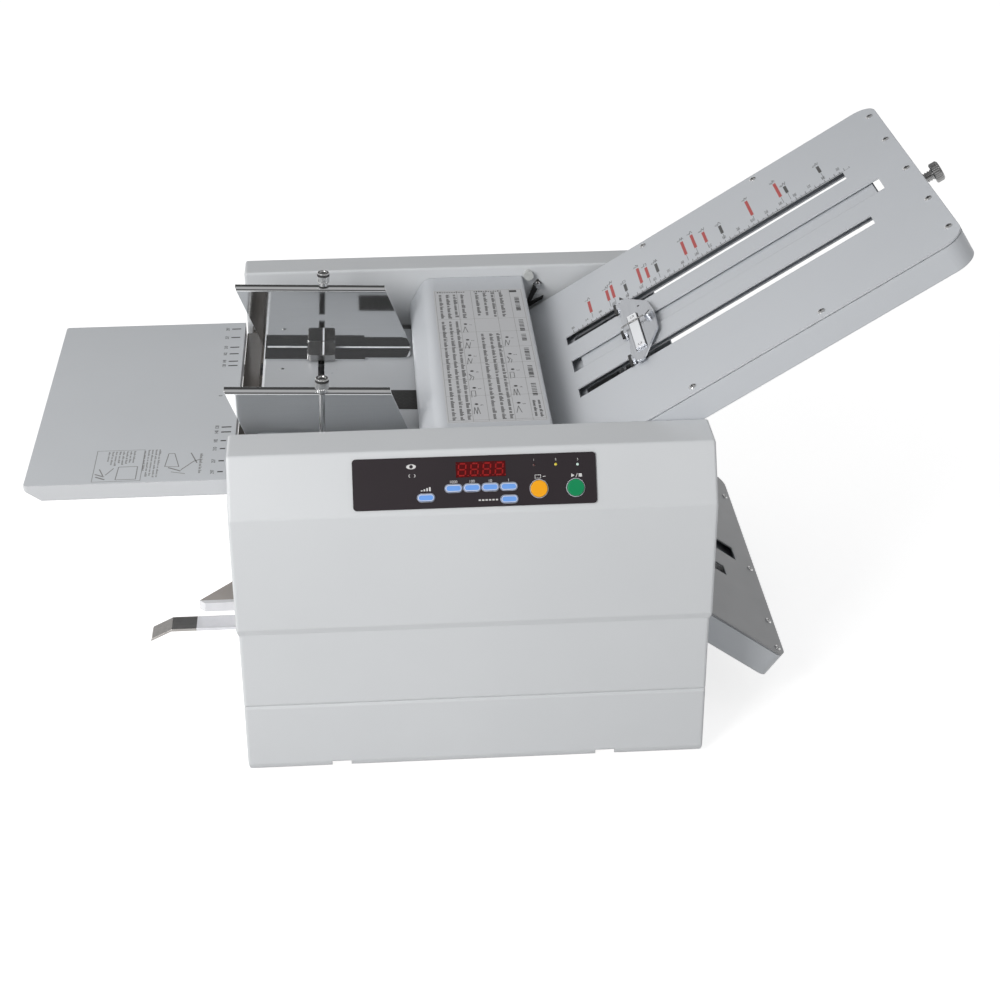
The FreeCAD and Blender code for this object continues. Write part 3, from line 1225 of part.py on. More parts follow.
def foldPlate(top_label, base_label, frame, sizes):
    """A flat top sheet with slots over a tray whose raised floor is the channel's lower side."""
    start, end, corner, slots = sizes
    top = newBody(top_label)
    pad(top, "XY", "channel_roof", "plate_face", plateOutline(start, end, "plate_half"))
    fillet(top, corner, both(ALONG_Z, at(0, end)))
    pocket(top, "XY", "channel_roof - 1", "plate_face + 1", *slots)
    finish(top, top_label, frame)
    base = newBody(base_label)
    rim = "channel_roof - seam_high"
    pad(base, "XY", "plate_back", rim, plateOutline(start, end, "plate_half"))
    pad(base, "XY", rim, "channel_roof",
        plateOutline(start, end + " - seam_in", "plate_half - seam_in"))
    inner = "plate_half - plate_sheet"
    pocket(base, "XY", "-channel_floor", "channel_roof + 1",
           plateOutline(start + " - 1", end + " - plate_sheet", inner))
    pocket(base, "XY", "plate_back - 1", "-channel_floor - plate_sheet",
           plateOutline(start + " - 1", start + " + plate_step", "plate_half + 1"))
    pocket(base, "XY", "plate_back - 1", "-channel_floor - plate_sheet",
           plateOutline(start + " + plate_step + plate_sheet", end + " - plate_sheet", inner))
    fillet(base, corner + " - plate_sheet", both(ALONG_Z, at(0, end + " - plate_sheet")))
    fillet(base, corner + " - seam_in", both(ALONG_Z, at(0, end + " - seam_in")))
    fillet(base, corner, both(ALONG_Z, at(0, end)))
    return finish(base, base_label, frame)


def slot(middle, width, start, end):
    return rect(start, "%s - %s / 2" % (middle, width), end, "%s + %s / 2" % (middle, width))


upper_slots = (slot("side_slot_place", "side_slot_width", "slot_start", "side_slot_end"),
               slot("0", "mid_slot_width", "slot_start", "mid_slot_end"),
               slot("-side_slot_place", "side_slot_width", "slot_start", "side_slot_end"))
lower_slots = (slot("lower_side_place", "lower_side_width", "lower_slot_start", "lower_side_end"),
               slot("lower_mid_place", "lower_mid_width", "lower_slot_start", "lower_mid_end"))
upper_base = foldPlate("upper_plate", "upper_plate_base", "upper",
                       ("plate_start", "plate_end", "plate_corner", upper_slots))
pocket(upper_base, "XY", "-channel_floor - plate_sheet - 1", "-channel_floor + 1",
       rect("window_start", "window_inner", "window_end", "window_outer"),
       rect("window_start", "-window_outer", "window_end", "-window_inner"),
       rect("rib_end + plate_sheet", "-window_inner", "rib_end + plate_sheet + end_window", "window_inner"))
pad(upper_base, "XY", "-channel_floor - plate_sheet", "rib_top",
    rect("rib_start", "-rib_half", "rib_end", "rib_half"))
fillet(upper_base, "rib_corner", both(ALONG_Z, either(at(0, "rib_start"), at(0, "rib_end")),
                                      at(1, "rib_half")))
pocket(upper_base, "XY", "-channel_floor - plate_sheet - 1", "rib_top - plate_sheet",
       rect("rib_start + rib_corner", "-rib_half + plate_sheet",
            "rib_end - rib_corner", "rib_half - plate_sheet"))
pocket(upper_base, "YZ", "plate_end - plate_sheet - 1", "plate_end + 1",
       ("0", "knob_level", "knob_neck_radius - 1 + run"))
foldPlate("lower_plate", "lower_plate_base", "lower",
          ("lower_start", "lower_end", "lower_corner", lower_slots))

screw_places = [("plate_end - 8", y) for y in ("142.5", "77", "-1", "-77", "-142.5")]
for s_place in ("plate_end - 131", "plate_end - 254"):
    screw_places += [(s_place, "159"), (s_place, "-159")]
finish(group("plate_screws", [disc("plate_screw_radius", s, y, "plate_face",
                                   "plate_face + plate_screw_head") for s, y in screw_places]),
       "plate_screws", "upper")


# ---- Stops and knob of the fold plates ----

def stopCarriage(label, place, fingers):
    """A cross bar on the plate, fingers through its slots and a bar across the channel."""
    body = newBody(label)
    face = "plate_face + gap"
    pad(body, "XY", face, face + " + stop_sheet",
        rect(place + " + stop_in", fingers[-1][0] + " - finger_tab",
             place + " + stop_in + stop_width", fingers[0][0] + " + finger_tab"))
    for y, width in fingers:
        pad(body, "XY", face, face + " + stop_sheet",
            rect(place, y + " - finger_tab", place + " + stop_in + 1", y + " + finger_tab"))
        half = "(%s / 2 - finger_play)" % width
        pad(body, "XY", "channel_roof - 1", face + " + 1",
            rect(place, "%s - %s" % (y, half), place + " + finger_sheet", "%s + %s" % (y, half)))
    pad(body, "XY", "-channel_floor + gap", "channel_roof - gap",
        rect(place, "-stop_bar_half", place + " + stop_bar", "stop_bar_half"))
    return body


stop = stopCarriage("stop_carriage", "stop_place",
                    (("side_slot_place", "side_slot_width"), ("0", "mid_slot_width"),
                     ("-side_slot_place", "side_slot_width")))
pocket(stop, "XY", "-channel_floor", "rib_top + gap",
       rect("stop_place - 1", "-rib_half - 2 * gap", "stop_place + stop_bar + 1", "rib_half + 2 * gap"))
POINTER = ((4.9, 55.9), (1.2, 16.6), (4.6, -16.6), (1.2, -54.8), (5.2, -71.4), (11.4, -73.0),
           (32.6, -30.0), (33.9, 6.0), (30.9, 29.3), (10.4, 61.4))
pointer_face = "plate_face + gap + stop_sheet"
pad(stop, "XY", pointer_face + " - 0.01", pointer_face + " + pointer_sheet",
    [("stop_place + %s" % s, str(t)) for s, t in POINTER])
pad(stop, "XY", pointer_face + " + pointer_sheet - 0.01", pointer_face + " + pointer_sheet + 2",
    rect("stop_place + strip_start", "strip_low",
         "stop_place + strip_start + strip_width", "strip_high"))
pad(stop, "XY", pointer_face + " + pointer_sheet - 0.01", pointer_face + " + pointer_sheet + 3.5",
    ("stop_place + screw_place", "0", "clamp_screw"))
finish(stop, "stop_carriage", "upper")

finish(stopCarriage("lower_stop", "lower_stop_place",
                    (("lower_mid_place", "lower_mid_width"), ("lower_side_place", "lower_side_width"))),
       "lower_stop", "lower")

end_knob = newBody("stop_knob")
pad(end_knob, "YZ", "-knob_shaft", "gap + knob_neck + 1", ("0", "0", "knob_neck_radius - 1"))
pad(end_knob, "YZ", "gap", "gap + knob_neck", ("0", "0", "knob_neck_radius"))
pad(end_knob, "YZ", "gap + knob_neck", "gap + knob_neck + knob_length", ("0", "0", "knob_radius"))
finish(end_knob, "stop_knob", "upper",
       ("plate_end * cos(upper_slope) - knob_level * sin(upper_slope)", "0",
        "plate_end * sin(upper_slope) + knob_level * cos(upper_slope)"))


# ---- Brackets that hold the upper plate down ----

brackets = []
plate_height = "nip_z + (bracket_x - nip_x) * tan(upper_slope) + (plate_face + gap) / cos(upper_slope)"
for side, inner in ((-1, "front_inner"), (1, "rear_inner")):
    def across(near_side, far_side):
        """Two distances from the centre line as low and high coordinates on this side."""
        if side > 0:
            return near_side, far_side
        return "-(%s)" % far_side, "-(%s)" % near_side

    low, high = across(inner + " - gap - bracket_sheet", inner + " - gap")
    strap = newBody("strap")
    pad(strap, "XZ", low, high,
        [("bracket_x - 4", plate_height + " - 1.5"), ("bracket_x + 1", plate_height + " + 1.6"),
         ("bracket_x + 14", plate_height + " + 9.5"), ("bracket_x + 15", plate_height + " + 12.5"),
         ("bracket_x + 2", plate_height + " + 6"), ("bracket_x + 10", "bracket_z - 13"),
         ("bracket_x + 13", "bracket_z - 9"), ("bracket_x + 9", "bracket_z - 5"),
         ("bracket_x + 5", "bracket_z - 10")])
    low, high = across(inner + " - gap - bracket_sheet - 6", inner + " - gap - bracket_sheet + 0.01")
    pad(strap, "XZ", low, high, ("bracket_x + 9", "bracket_z - 10", "2.2"))
    brackets.append(strap)
    low, high = across(inner + " - 6", inner)
    brackets.append(roundBar("bracket_disc", "bracket_x", "bracket_z", low, high))
finish(group("plate_brackets", brackets), "plate_brackets")


# ---- Control panel: drawn along X and up the slanted face ----

KEYS = (("button_speed", "161.2", "13.8"), ("button_thousands", "183.9", "20.7"),
        ("button_hundreds", "199.0", "20.8"), ("button_tens", "213.9", "20.8"),
        ("button_units", "229.0", "20.8"), ("button_clear", "229.2", "10.5"))
ROUNDS = (("button_test", "253.7", "18.1"), ("button_start", "283.8", "18.0"))

fascia = newBody("control_panel")
pad(fascia, "XY", "0", "panel_thick", rect("panel_left", "panel_low", "panel_right", "panel_high"))
fillet(fascia, "panel_corner", ALONG_Z)
key_holes = [rect(x + " - key_length / 2 - gap", u + " - key_height / 2 - gap",
                  x + " + key_length / 2 + gap", u + " + key_height / 2 + gap")
             for name, x, u in KEYS]
pocket(fascia, "XY", "-1", "panel_thick + 1", *key_holes)
fillet(fascia, "key_height / 2 + gap - 0.05",
       both(ALONG_Z, lambda a, b: value("window_left") < a.x < value("window_right")))
pocket(fascia, "XY", "-1", "panel_thick + 1",
       *[(x, u, "round_radius + gap") for name, x, u in ROUNDS])
finish(fascia, "control_panel", "panel")

for name, x, u in KEYS:
    key = newBody(name)
    pad(key, "XY", "-key_depth", "panel_thick + key_proud",
        rect(x + " - key_length / 2", u + " - key_height / 2",
             x + " + key_length / 2", u + " + key_height / 2"))
    fillet(key, "key_height / 2 - 0.05", ALONG_Z)
    finish(key, name, "panel")
for name, x, u in ROUNDS:
    key = newBody(name)
    pad(key, "XY", "-key_depth", "panel_thick + key_proud", (x, u, "round_radius"))
    finish(key, name, "panel")

board_top = "-key_depth - key_travel - gap"
board = newBody("control_board")
pad(board, "XY", board_top + " - board_sheet", board_top,
    rect("window_left - 8", "window_low", "window_right + 8", "window_high - 4"))
posts = [(x, u, "board_post") for x in ("window_left - 4", "window_right + 4")
         for u in ("window_low + 5", "window_high - 9")]
pad(board, "XY", board_top + " - 0.01", "-cover_wall", *posts)
finish(board, "control_board", "panel")


# ---- Power inlet with its switch ----

inlet = newBody("power_inlet")
inlet_right, inlet_high = "inlet_left + inlet_width", "inlet_low + inlet_height"
pad(inlet, "XZ", "lower_face - inlet_depth", "lower_face + inlet_flange / 2",
    rect("inlet_left", "inlet_low", inlet_right, inlet_high))
fillet(inlet, "2", ALONG_Y)
pad(inlet, "XZ", "lower_face", "lower_face + inlet_flange - 0.1",
    rect("inlet_left - 3", "inlet_low - 3", inlet_right + " + 3", inlet_high + " + 3"))
pocket(inlet, "XZ", "lower_face - inlet_depth + 4", "half_depth + 1",
       rect("inlet_left + 5", "inlet_z - 9", "inlet_left + 31", "inlet_z + 9"))
for x, z in (("inlet_left + 11", "inlet_z - 2"), ("inlet_left + 25", "inlet_z - 2"),
             ("inlet_left + 18", "inlet_z + 3")):
    pad(inlet, "XZ", "lower_face - inlet_depth + 3", "lower_face - 3",
        rect(x + " - 1", z + " - 2", x + " + 1", z + " + 2"))
pocket(inlet, "XZ", "lower_face - 9", "half_depth + 1",
       rect("rocker_x - rocker_length / 2 - gap", "inlet_z - rocker_height / 2 - 1.2",
            "rocker_x + rocker_length / 2 + gap", "inlet_z + rocker_height / 2 + 1.2"))
finish(inlet, "power_inlet")

rocker = newBody("power_switch")
pad(rocker, "YZ", "-rocker_length / 2", "rocker_length / 2",
    [("-4", "-rocker_height / 2 + 3"), ("2.6", "-rocker_height / 2"),
     ("1.2", "0"), ("1.2", "rocker_height / 2"), ("-4", "rocker_height / 2 - 3")])
finish(rocker, "power_switch", place=("rocker_x", "lower_face - 1.5", "inlet_z"))


# ---- Check and write ----

doc.recompute()
for thing in doc.Objects:
    if "Invalid" in thing.State or "Error" in thing.State:
        raise RuntimeError("%s (%s) failed: %s" % (thing.Name, thing.Label, thing.State))
for thing in NODES:
    if thing.Shape.isNull() or not thing.Shape.isValid() or not thing.Shape.Solids:
        raise RuntimeError("%s has no valid solid" % thing.Label)
if len({thing.Label for thing in NODES}) != len(NODES):
    raise RuntimeError("two sub-parts share a name")

os.makedirs("parts", exist_ok=True)
for thing in NODES:
    thing.Shape.exportStep("parts/%s.step" % thing.Label)
print("wrote", len(NODES), "sub-parts")
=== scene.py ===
import math
import random

import bmesh
import bpy
from mathutils import Matrix, Vector


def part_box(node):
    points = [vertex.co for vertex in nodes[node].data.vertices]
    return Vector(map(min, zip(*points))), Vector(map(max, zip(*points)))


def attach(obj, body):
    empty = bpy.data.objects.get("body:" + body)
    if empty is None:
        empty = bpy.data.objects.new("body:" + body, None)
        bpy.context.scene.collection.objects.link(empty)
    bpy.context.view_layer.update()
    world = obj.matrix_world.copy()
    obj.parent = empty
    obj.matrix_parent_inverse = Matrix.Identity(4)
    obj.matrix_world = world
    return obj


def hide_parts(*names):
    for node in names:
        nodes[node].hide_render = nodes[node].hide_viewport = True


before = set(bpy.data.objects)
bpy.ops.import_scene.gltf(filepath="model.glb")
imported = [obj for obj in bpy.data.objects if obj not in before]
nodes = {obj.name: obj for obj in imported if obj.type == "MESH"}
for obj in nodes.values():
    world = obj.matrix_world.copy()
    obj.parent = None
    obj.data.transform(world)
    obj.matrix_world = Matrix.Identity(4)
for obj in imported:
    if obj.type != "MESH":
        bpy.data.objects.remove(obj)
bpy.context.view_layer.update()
scene = bpy.context.scene
scene.view_settings.view_transform = "Standard"
random.seed(7)
print("frame loaded:", len(nodes), "nodes")

# places: lengths below are in millimetres from the covers' left end, the centre line and
# the covers' lower edge, and these frames bring them to the model's own frame
millimetre = 0.001
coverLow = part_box("front_cover")[0]
machineFrame = Matrix.Translation((coverLow.x, 0, coverLow.z)) @ Matrix.Scale(millimetre, 4)


def raised(place, level):
    return place @ Matrix.Translation((0, 0, level))


def tiltedFrame(x, y, z, axis, degrees):
    turn = Matrix.Rotation(math.radians(degrees), 4, axis)
    return machineFrame @ Matrix.Translation((x, y, z)) @ turn


slant = dict(front=-238.1, low=247.8, high=293.1, depth=27)
slantAngle = math.degrees(math.atan2(slant["high"] - slant["low"], slant["depth"]))
tableFrame = tiltedFrame(19, 0, 242, "Y", 2.2)
upperFrame = tiltedFrame(245.221, 0, 219.269, "Y", -32)
lowerFrame = tiltedFrame(273.813, 0, 192.454, "Y", 35.93)
panelFrame = tiltedFrame(0, slant["front"], slant["low"], "X", slantAngle)


# node groups: effects that several finishes share

def newGroup(name, inputs, outputs):  # a colour has four numbers, a vector three
    group = bpy.data.node_groups.new(name, "ShaderNodeTree")
    for label, start in inputs.items():
        kind = {4: "Color", 3: "Vector"}[len(start)] if isinstance(start, tuple) else "Float"
        socket = group.interface.new_socket(name=label, in_out="INPUT",
            socket_type="NodeSocket" + kind)
        socket.default_value = start
    for label, kind in outputs.items():
        group.interface.new_socket(name=label, in_out="OUTPUT", socket_type="NodeSocket" + kind)
    return group, group.nodes.new("NodeGroupInput"), group.nodes.new("NodeGroupOutput")


def addNode(tree, kind, links=(), **settings):
    node = tree.nodes.new("ShaderNode" + kind)
    for key, value in settings.items():
        setattr(node, key, value)
    for socket, source in dict(links).items():
        target = node.inputs[socket]
        if isinstance(source, bpy.types.NodeSocket):
            tree.links.new(source, target)
        else:
            target.default_value = source
    return node


def objectPlace(tree):
    return addNode(tree, "TexCoord").outputs["Object"]


def mathNode(tree, operation, first, second=0):
    return addNode(tree, "Math", {0: first, 1: second}, operation=operation).outputs[0]


def blendColor(tree, factor, first, second):
    return addNode(tree, "Mix", {0: factor, 6: first, 7: second}, data_type="RGBA").outputs[2]


def noise(tree, vector, scale, detail=2, rough=0.5):
    inputs = {"Vector": vector, "Scale": scale, "Detail": detail, "Roughness": rough}
    return addNode(tree, "TexNoise", inputs).outputs["Fac"]


def spread(tree, value, low, high, fromLow=0, fromHigh=1, **settings):
    ends = {"Value": value, "From Min": fromLow, "From Max": fromHigh, "To Min": low,
        "To Max": high}
    return addNode(tree, "MapRange", ends, **settings).outputs[0]


skinOutputs = dict(Color="Color", Roughness="Float", Height="Float")
peel = dict(cloud=5, cloudRange=(0.35, 0.75), cloudShare=0.55, groundShadeHeight=0.1, groundShadeShare=0.45,
    speck=420, speckRange=(0.56, 0.75), speckShare=0.1, patch=38)


def makeFinePaint():  # moulded or powder-coated skin: fine peel, slow change of tone, dull spots, and painted shade that darkens it towards the floor
    group, start, end = newGroup("finePaint", dict(Color=(0.6, 0.6, 0.6, 1),
        Shade=(0.5, 0.5, 0.5, 1), Grain=2500, Gloss=0.45, Vary=0.08), skinOutputs)
    place = objectPlace(group)
    shade = start.outputs["Shade"]
    cloud = spread(group, noise(group, place, peel["cloud"], 3), 0, peel["cloudShare"],
        *peel["cloudRange"])
    # painted shade: below a tenth of a metre the skin blends towards its darker tone
    rise = addNode(group, "SeparateXYZ", {0: place}).outputs["Z"]
    low = spread(group, rise, peel["groundShadeShare"], 0, 0, peel["groundShadeHeight"])
    color = blendColor(group, mathNode(group, "ADD", cloud, low), start.outputs["Color"], shade)
    fine = noise(group, place, peel["speck"], 3, 0.6)
    color = blendColor(group, spread(group, fine, 0, peel["speckShare"], *peel["speckRange"]),
        color, shade)
    group.links.new(color, end.inputs["Color"])
    patch = spread(group, noise(group, place, peel["patch"], 4), -1, 1)
    swing = mathNode(group, "MULTIPLY", patch, start.outputs["Vary"])
    group.links.new(mathNode(group, "ADD", start.outputs["Gloss"], swing), end.inputs["Roughness"])
    group.links.new(noise(group, place, start.outputs["Grain"]), end.inputs["Height"])
    return group


drawn = dict(streak=1, streakRange=(0.3, 0.8), streakShare=0.8, fine=0.05, smear=22)


def makeBrushed():  # drawn or ground metal: fine streaks along one axis, smears
    group, start, end = newGroup("brushed", dict(Color=(0.6, 0.6, 0.6, 1), Dark=(0.4, 0.4, 0.4, 1),
        Stretch=(20, 900, 900), Gloss=0.25, Smear=0.08), skinOutputs)
    place = objectPlace(group)
    stretched = addNode(group, "VectorMath", {0: place, 1: start.outputs["Stretch"]},
        operation="MULTIPLY").outputs[0]
    streak = noise(group, stretched, drawn["streak"], 4, 0.6)
    share = spread(group, streak, 0, drawn["streakShare"], *drawn["streakRange"])
    color = blendColor(group, share, start.outputs["Color"], start.outputs["Dark"])
    group.links.new(color, end.inputs["Color"])
    smear = spread(group, noise(group, place, drawn["smear"], 4), -1, 1)
    swing = mathNode(group, "MULTIPLY", smear, start.outputs["Smear"])
    fineSwing = spread(group, streak, -drawn["fine"], drawn["fine"])
    rough = mathNode(group, "ADD", mathNode(group, "ADD", start.outputs["Gloss"], swing), fineSwing)
    group.links.new(rough, end.inputs["Roughness"])
    group.links.new(streak, end.inputs["Height"])
    return group


softRim = dict(samples=4, range=(0.8, 0.99))


def makeSoftEdge():  # rounds sharp edges in the shading and finds them for edge wear and painted edge highlights
    group, start, end = newGroup("softEdge", dict(Radius=0.001),
        dict(Normal="Vector", Edge="Float"))
    bevel = addNode(group, "Bevel", {"Radius": start.outputs["Radius"]}, samples=softRim["samples"])
    flat = addNode(group, "NewGeometry").outputs["Normal"]
    dot = addNode(group, "VectorMath", {0: bevel.outputs[0], 1: flat},
        operation="DOT_PRODUCT").outputs["Value"]
    group.links.new(bevel.outputs[0], end.inputs["Normal"])
    group.links.new(spread(group, dot, 1, 0, *softRim["range"]), end.inputs["Edge"])
    return group


finePaint, brushed, softEdge = makeFinePaint(), makeBrushed(), makeSoftEdge()
print("node groups made")


# finishes

finishes = {}


def newMaterial(name, **constants):
    material = bpy.data.materials.new(name)
    material.use_nodes = True
    tree = material.node_tree
    shader = tree.nodes["Principled BSDF"]
    for label, value in constants.items():
        shader.inputs[label.replace("_", " ")].default_value = value
    finishes[name] = material
    return tree, shader


def placeGroup(tree, group, **values):
    node = addNode(tree, "Group")
    node.node_tree = group
    for label, value in values.items():
        node.inputs[label].default_value = value
    return node


def bumpInto(tree, shader, height, strength, distance, normal=None):
    bump = addNode(tree, "Bump", {"Strength": strength, "Distance": distance, "Height": height})
    if normal:
        tree.links.new(normal, bump.inputs["Normal"])
    tree.links.new(bump.outputs[0], shader.inputs["Normal"])


def gray(level, warm=0):
    return (level + warm, level, level - warm, 1)


def dimmed(color, share):
    return tuple(share * part for part in color[:3]) + (1,)


def paint(name, color, shade, edge, gloss, grain=2500, bump=0.12, radius=0.0012, vary=0.06,
        edgeWearAndHighlight=0.5, **constants):
    tree, shader = newMaterial(name, **constants)
    skin = placeGroup(tree, finePaint, Color=color, Shade=shade, Grain=grain, Gloss=gloss,
        Vary=vary)
    rim = placeGroup(tree, softEdge, Radius=radius)
    # the edge colour mixes in at sharp edges: partly wear, partly a painted highlight
    edgeWornAndLit = blendColor(tree, mathNode(tree, "MULTIPLY", rim.outputs["Edge"], edgeWearAndHighlight),
        skin.outputs["Color"], edge)
    tree.links.new(edgeWornAndLit, shader.inputs["Base Color"])
    tree.links.new(skin.outputs["Roughness"], shader.inputs["Roughness"])
    bumpInto(tree, shader, skin.outputs["Height"], bump, 0.0002, rim.outputs["Normal"])


def metal(name, color, dark, gloss, stretch=(20, 900, 900), bump=0.05, smear=0.06, radius=0.0006,
        **constants):
    tree, shader = newMaterial(name, Metallic=1, **constants)
    grain = placeGroup(tree, brushed, Color=color, Dark=dark, Stretch=stretch, Gloss=gloss,
        Smear=smear)
    rim = placeGroup(tree, softEdge, Radius=radius)
    tree.links.new(grain.outputs["Color"], shader.inputs["Base Color"])
    tree.links.new(grain.outputs["Roughness"], shader.inputs["Roughness"])
    bumpInto(tree, shader, grain.outputs["Height"], bump, 0.0001, rim.outputs["Normal"])


# on the covers and along the tray's fold the pale edge colour is a painted highlight
paint("coverPlastic", (0.64, 0.66, 0.68, 1), (0.59, 0.61, 0.63, 1), gray(0.88, -0.02), 0.42,
    grain=1800, bump=0.16, radius=0.0022, edgeWearAndHighlight=0.6)
paint("sheetPaint", (0.58, 0.605, 0.64, 1), (0.535, 0.56, 0.59, 1), gray(0.72, -0.02), 0.36,
    grain=2600, bump=0.1, radius=0.0012)
# a darker copy of the sheet paint: painted shade on the lower plate, which lies under the upper
# plate
paint("paintedShadeSheet", (0.3, 0.305, 0.315, 1), (0.26, 0.265, 0.275, 1), gray(0.6, -0.02), 0.34,
    grain=2600, bump=0.1, radius=0.0012)
paint("trayPaint", (0.61, 0.635, 0.665, 1), (0.57, 0.595, 0.62, 1), gray(0.92, -0.01), 0.4,
    grain=2600, bump=0.1, radius=0.0012, edgeWearAndHighlight=0.8)
paint("tablePaint", (0.5, 0.52, 0.545, 1), (0.46, 0.48, 0.5, 1), gray(0.66, -0.02), 0.3, grain=2600,
    bump=0.08, radius=0.001)
paint("framePaint", (0.55, 0.56, 0.555, 1), (0.48, 0.485, 0.48, 1), gray(0.62), 0.45, radius=0.0006)
paint("innerPaint", gray(0.2, 0.012), gray(0.14, 0.01), gray(0.3, 0.01), 0.5, radius=0.0006)
paint("motorPaint", gray(0.045), gray(0.03), gray(0.1), 0.4)
paint("blackPaint", gray(0.022), gray(0.012), gray(0.06), 0.42, radius=0.0005)
paint("blackFilm", (0.03, 0.024, 0.028, 1), (0.024, 0.019, 0.022, 1), gray(0.05), 0.36, grain=5200,
    bump=0.05, radius=0.0004, vary=0.03, Specular_IOR_Level=0.28)
paint("inletBlack", gray(0.02), gray(0.014), gray(0.045), 0.38, radius=0.0006)
paint("gearNylon", gray(0.7, 0.03), gray(0.62, 0.03), gray(0.78, 0.02), 0.5, radius=0.0004)
paint("boardGreen", (0.01, 0.1, 0.04, 1), (0.008, 0.07, 0.03, 1), (0.2, 0.2, 0.1, 1), 0.3,
    radius=0.0003)
paint("darkRubber", gray(0.028), gray(0.018), gray(0.06), 0.75, grain=1400, bump=0.3, radius=0.0008)
paint("greyRubber", gray(0.16), gray(0.11), gray(0.2), 0.7, grain=1100, bump=0.4)
# the keys' pale edge colour is a painted highlight on their chamfers
paint("keyBlue", (0.17, 0.38, 0.86, 1), (0.14, 0.32, 0.76, 1), (0.62, 0.74, 0.95, 1), 0.3,
    bump=0.04, radius=0.0014, edgeWearAndHighlight=0.95, Coat_Weight=0.3)
paint("keyYellow", (0.95, 0.42, 0.012, 1), (0.85, 0.34, 0.01, 1), (1, 0.62, 0.1, 1), 0.3, bump=0.04,
    radius=0.0012, Coat_Weight=0.3)
paint("keyGreen", (0.005, 0.27, 0.1, 1), (0.004, 0.2, 0.075, 1), (0.05, 0.45, 0.2, 1), 0.3,
    bump=0.04, radius=0.0012, Coat_Weight=0.3)
paint("rimPlastic", (0.68, 0.71, 0.8, 1), (0.6, 0.63, 0.73, 1), gray(0.8), 0.35, radius=0.0003)
metal("zincSheet", gray(0.55, 0.01), gray(0.42, 0.01), 0.38)
metal("groundSteel", gray(0.6), gray(0.46), 0.24, stretch=(900, 14, 900))
metal("polishedSteel", gray(0.74), gray(0.66), 0.075, bump=0.01, smear=0.03)
metal("mirrorSheet", (0.88, 0.89, 0.9, 1), (0.83, 0.84, 0.85, 1), 0.06, bump=0.008, smear=0.025,
    radius=0.0004)
metal("leverSteel", gray(0.36, 0.012), gray(0.26, 0.012), 0.14, stretch=(18, 700, 700))
metal("satinSteel", gray(0.46), gray(0.42), 0.24, stretch=(300, 20, 300), bump=0.01)
metal("guardSteel", gray(0.66, 0.025), gray(0.54, 0.025), 0.16, stretch=(700, 16, 700))
metal("darkChrome", gray(0.34), gray(0.24), 0.16, bump=0.02)
metal("carriageSteel", (0.74, 0.76, 0.8, 1), (0.66, 0.68, 0.72, 1), 0.24, stretch=(700, 16, 700))
metal("bronze", (0.5, 0.3, 0.13, 1), (0.34, 0.2, 0.08, 1), 0.35)
metal("rollerSteel", gray(0.32), gray(0.2), 0.42, stretch=(700, 30, 700), bump=0.2)


def ink(name, color):  # thin print: worn and slightly uneven
    tree, shader = newMaterial(name)
    skin = placeGroup(tree, finePaint, Color=color, Shade=dimmed(color, 0.75), Grain=3000,
        Gloss=0.5, Vary=0.05)
    tree.links.new(skin.outputs["Color"], shader.inputs["Base Color"])
    tree.links.new(skin.outputs["Roughness"], shader.inputs["Roughness"])


ink("inkDark", gray(0.09))
ink("inkMid", gray(0.24))
ink("inkFaint", gray(0.36))
ink("inkRed", (0.5, 0.09, 0.085, 1))
ink("inkWhite", gray(0.66))
ink("inkBlack", gray(0.045))
# a near-white that paints highlights on edges, seams, folds and the polished stop strip
ink("highlightWhite", (0.9, 0.92, 0.95, 1))
paint("labelFilm", (0.62, 0.63, 0.65, 1), (0.58, 0.59, 0.61, 1), gray(0.66), 0.3, bump=0.03,
    radius=0.0002)


glass = dict(coat=0.5, noise=260, dim=0.55, gloss=(0.2, 0.32))


def glow(name, color, strength):
    tree, shader = newMaterial(name, Coat_Weight=glass["coat"], Emission_Strength=strength)
    place = objectPlace(tree)
    tone = noise(tree, place, glass["noise"])
    shown = blendColor(tree, tone, color, dimmed(color, glass["dim"]))
    tree.links.new(shown, shader.inputs["Base Color"])
    tree.links.new(shown, shader.inputs["Emission Color"])
    tree.links.new(spread(tree, tone, *glass["gloss"]), shader.inputs["Roughness"])


glow("lensRed", (0.085, 0.001, 0.002, 1), 0.25)
glow("segmentRed", (0.27, 0.01, 0.01, 1), 0.45)
glow("ledRed", (0.07, 0.01, 0.01, 1), 0.05)
glow("ledYellow", (0.62, 0.5, 0.03, 1), 0.35)
glow("ledWhite", (0.55, 0.72, 0.66, 1), 0.35)


def placeMask(tree, axis, low, high):  # 1 between two places along one axis of the machine
    k = "XYZ".index(axis)
    place = objectPlace(tree)
    part = addNode(tree, "SeparateXYZ", {0: place}).outputs[k]
    low, high = [(machineFrame @ Vector.Fill(3, value))[k] for value in (low, high)]
    above = mathNode(tree, "GREATER_THAN", part, low)
    return mathNode(tree, "MULTIPLY", above, mathNode(tree, "LESS_THAN", part, high))


zoneLook = dict(noise=90, dim=0.86)


def addZone(name, masks, color, metallic):  # part of a node in a painted tone for shade or reflection, and less of a mirror
    tree = finishes[name].node_tree
    shader = tree.nodes["Principled BSDF"]
    zone = placeMask(tree, *masks[0])
    for mask in masks[1:]:
        zone = mathNode(tree, "MULTIPLY", zone, placeMask(tree, *mask))
    tint = blendColor(tree, noise(tree, objectPlace(tree), zoneLook["noise"], 3), color,
        dimmed(color, zoneLook["dim"]))
    before = shader.inputs["Base Color"].links[0].from_socket
    tree.links.new(blendColor(tree, zone, before, tint), shader.inputs["Base Color"])
    socket = shader.inputs["Metallic"]
    start = socket.links[0].from_socket if socket.links else socket.default_value
    kept = mathNode(tree, "MULTIPLY", start, mathNode(tree, "SUBTRACT", 1, zone))
    tree.links.new(mathNode(tree, "ADD", kept, mathNode(tree, "MULTIPLY", zone, metallic)), socket)


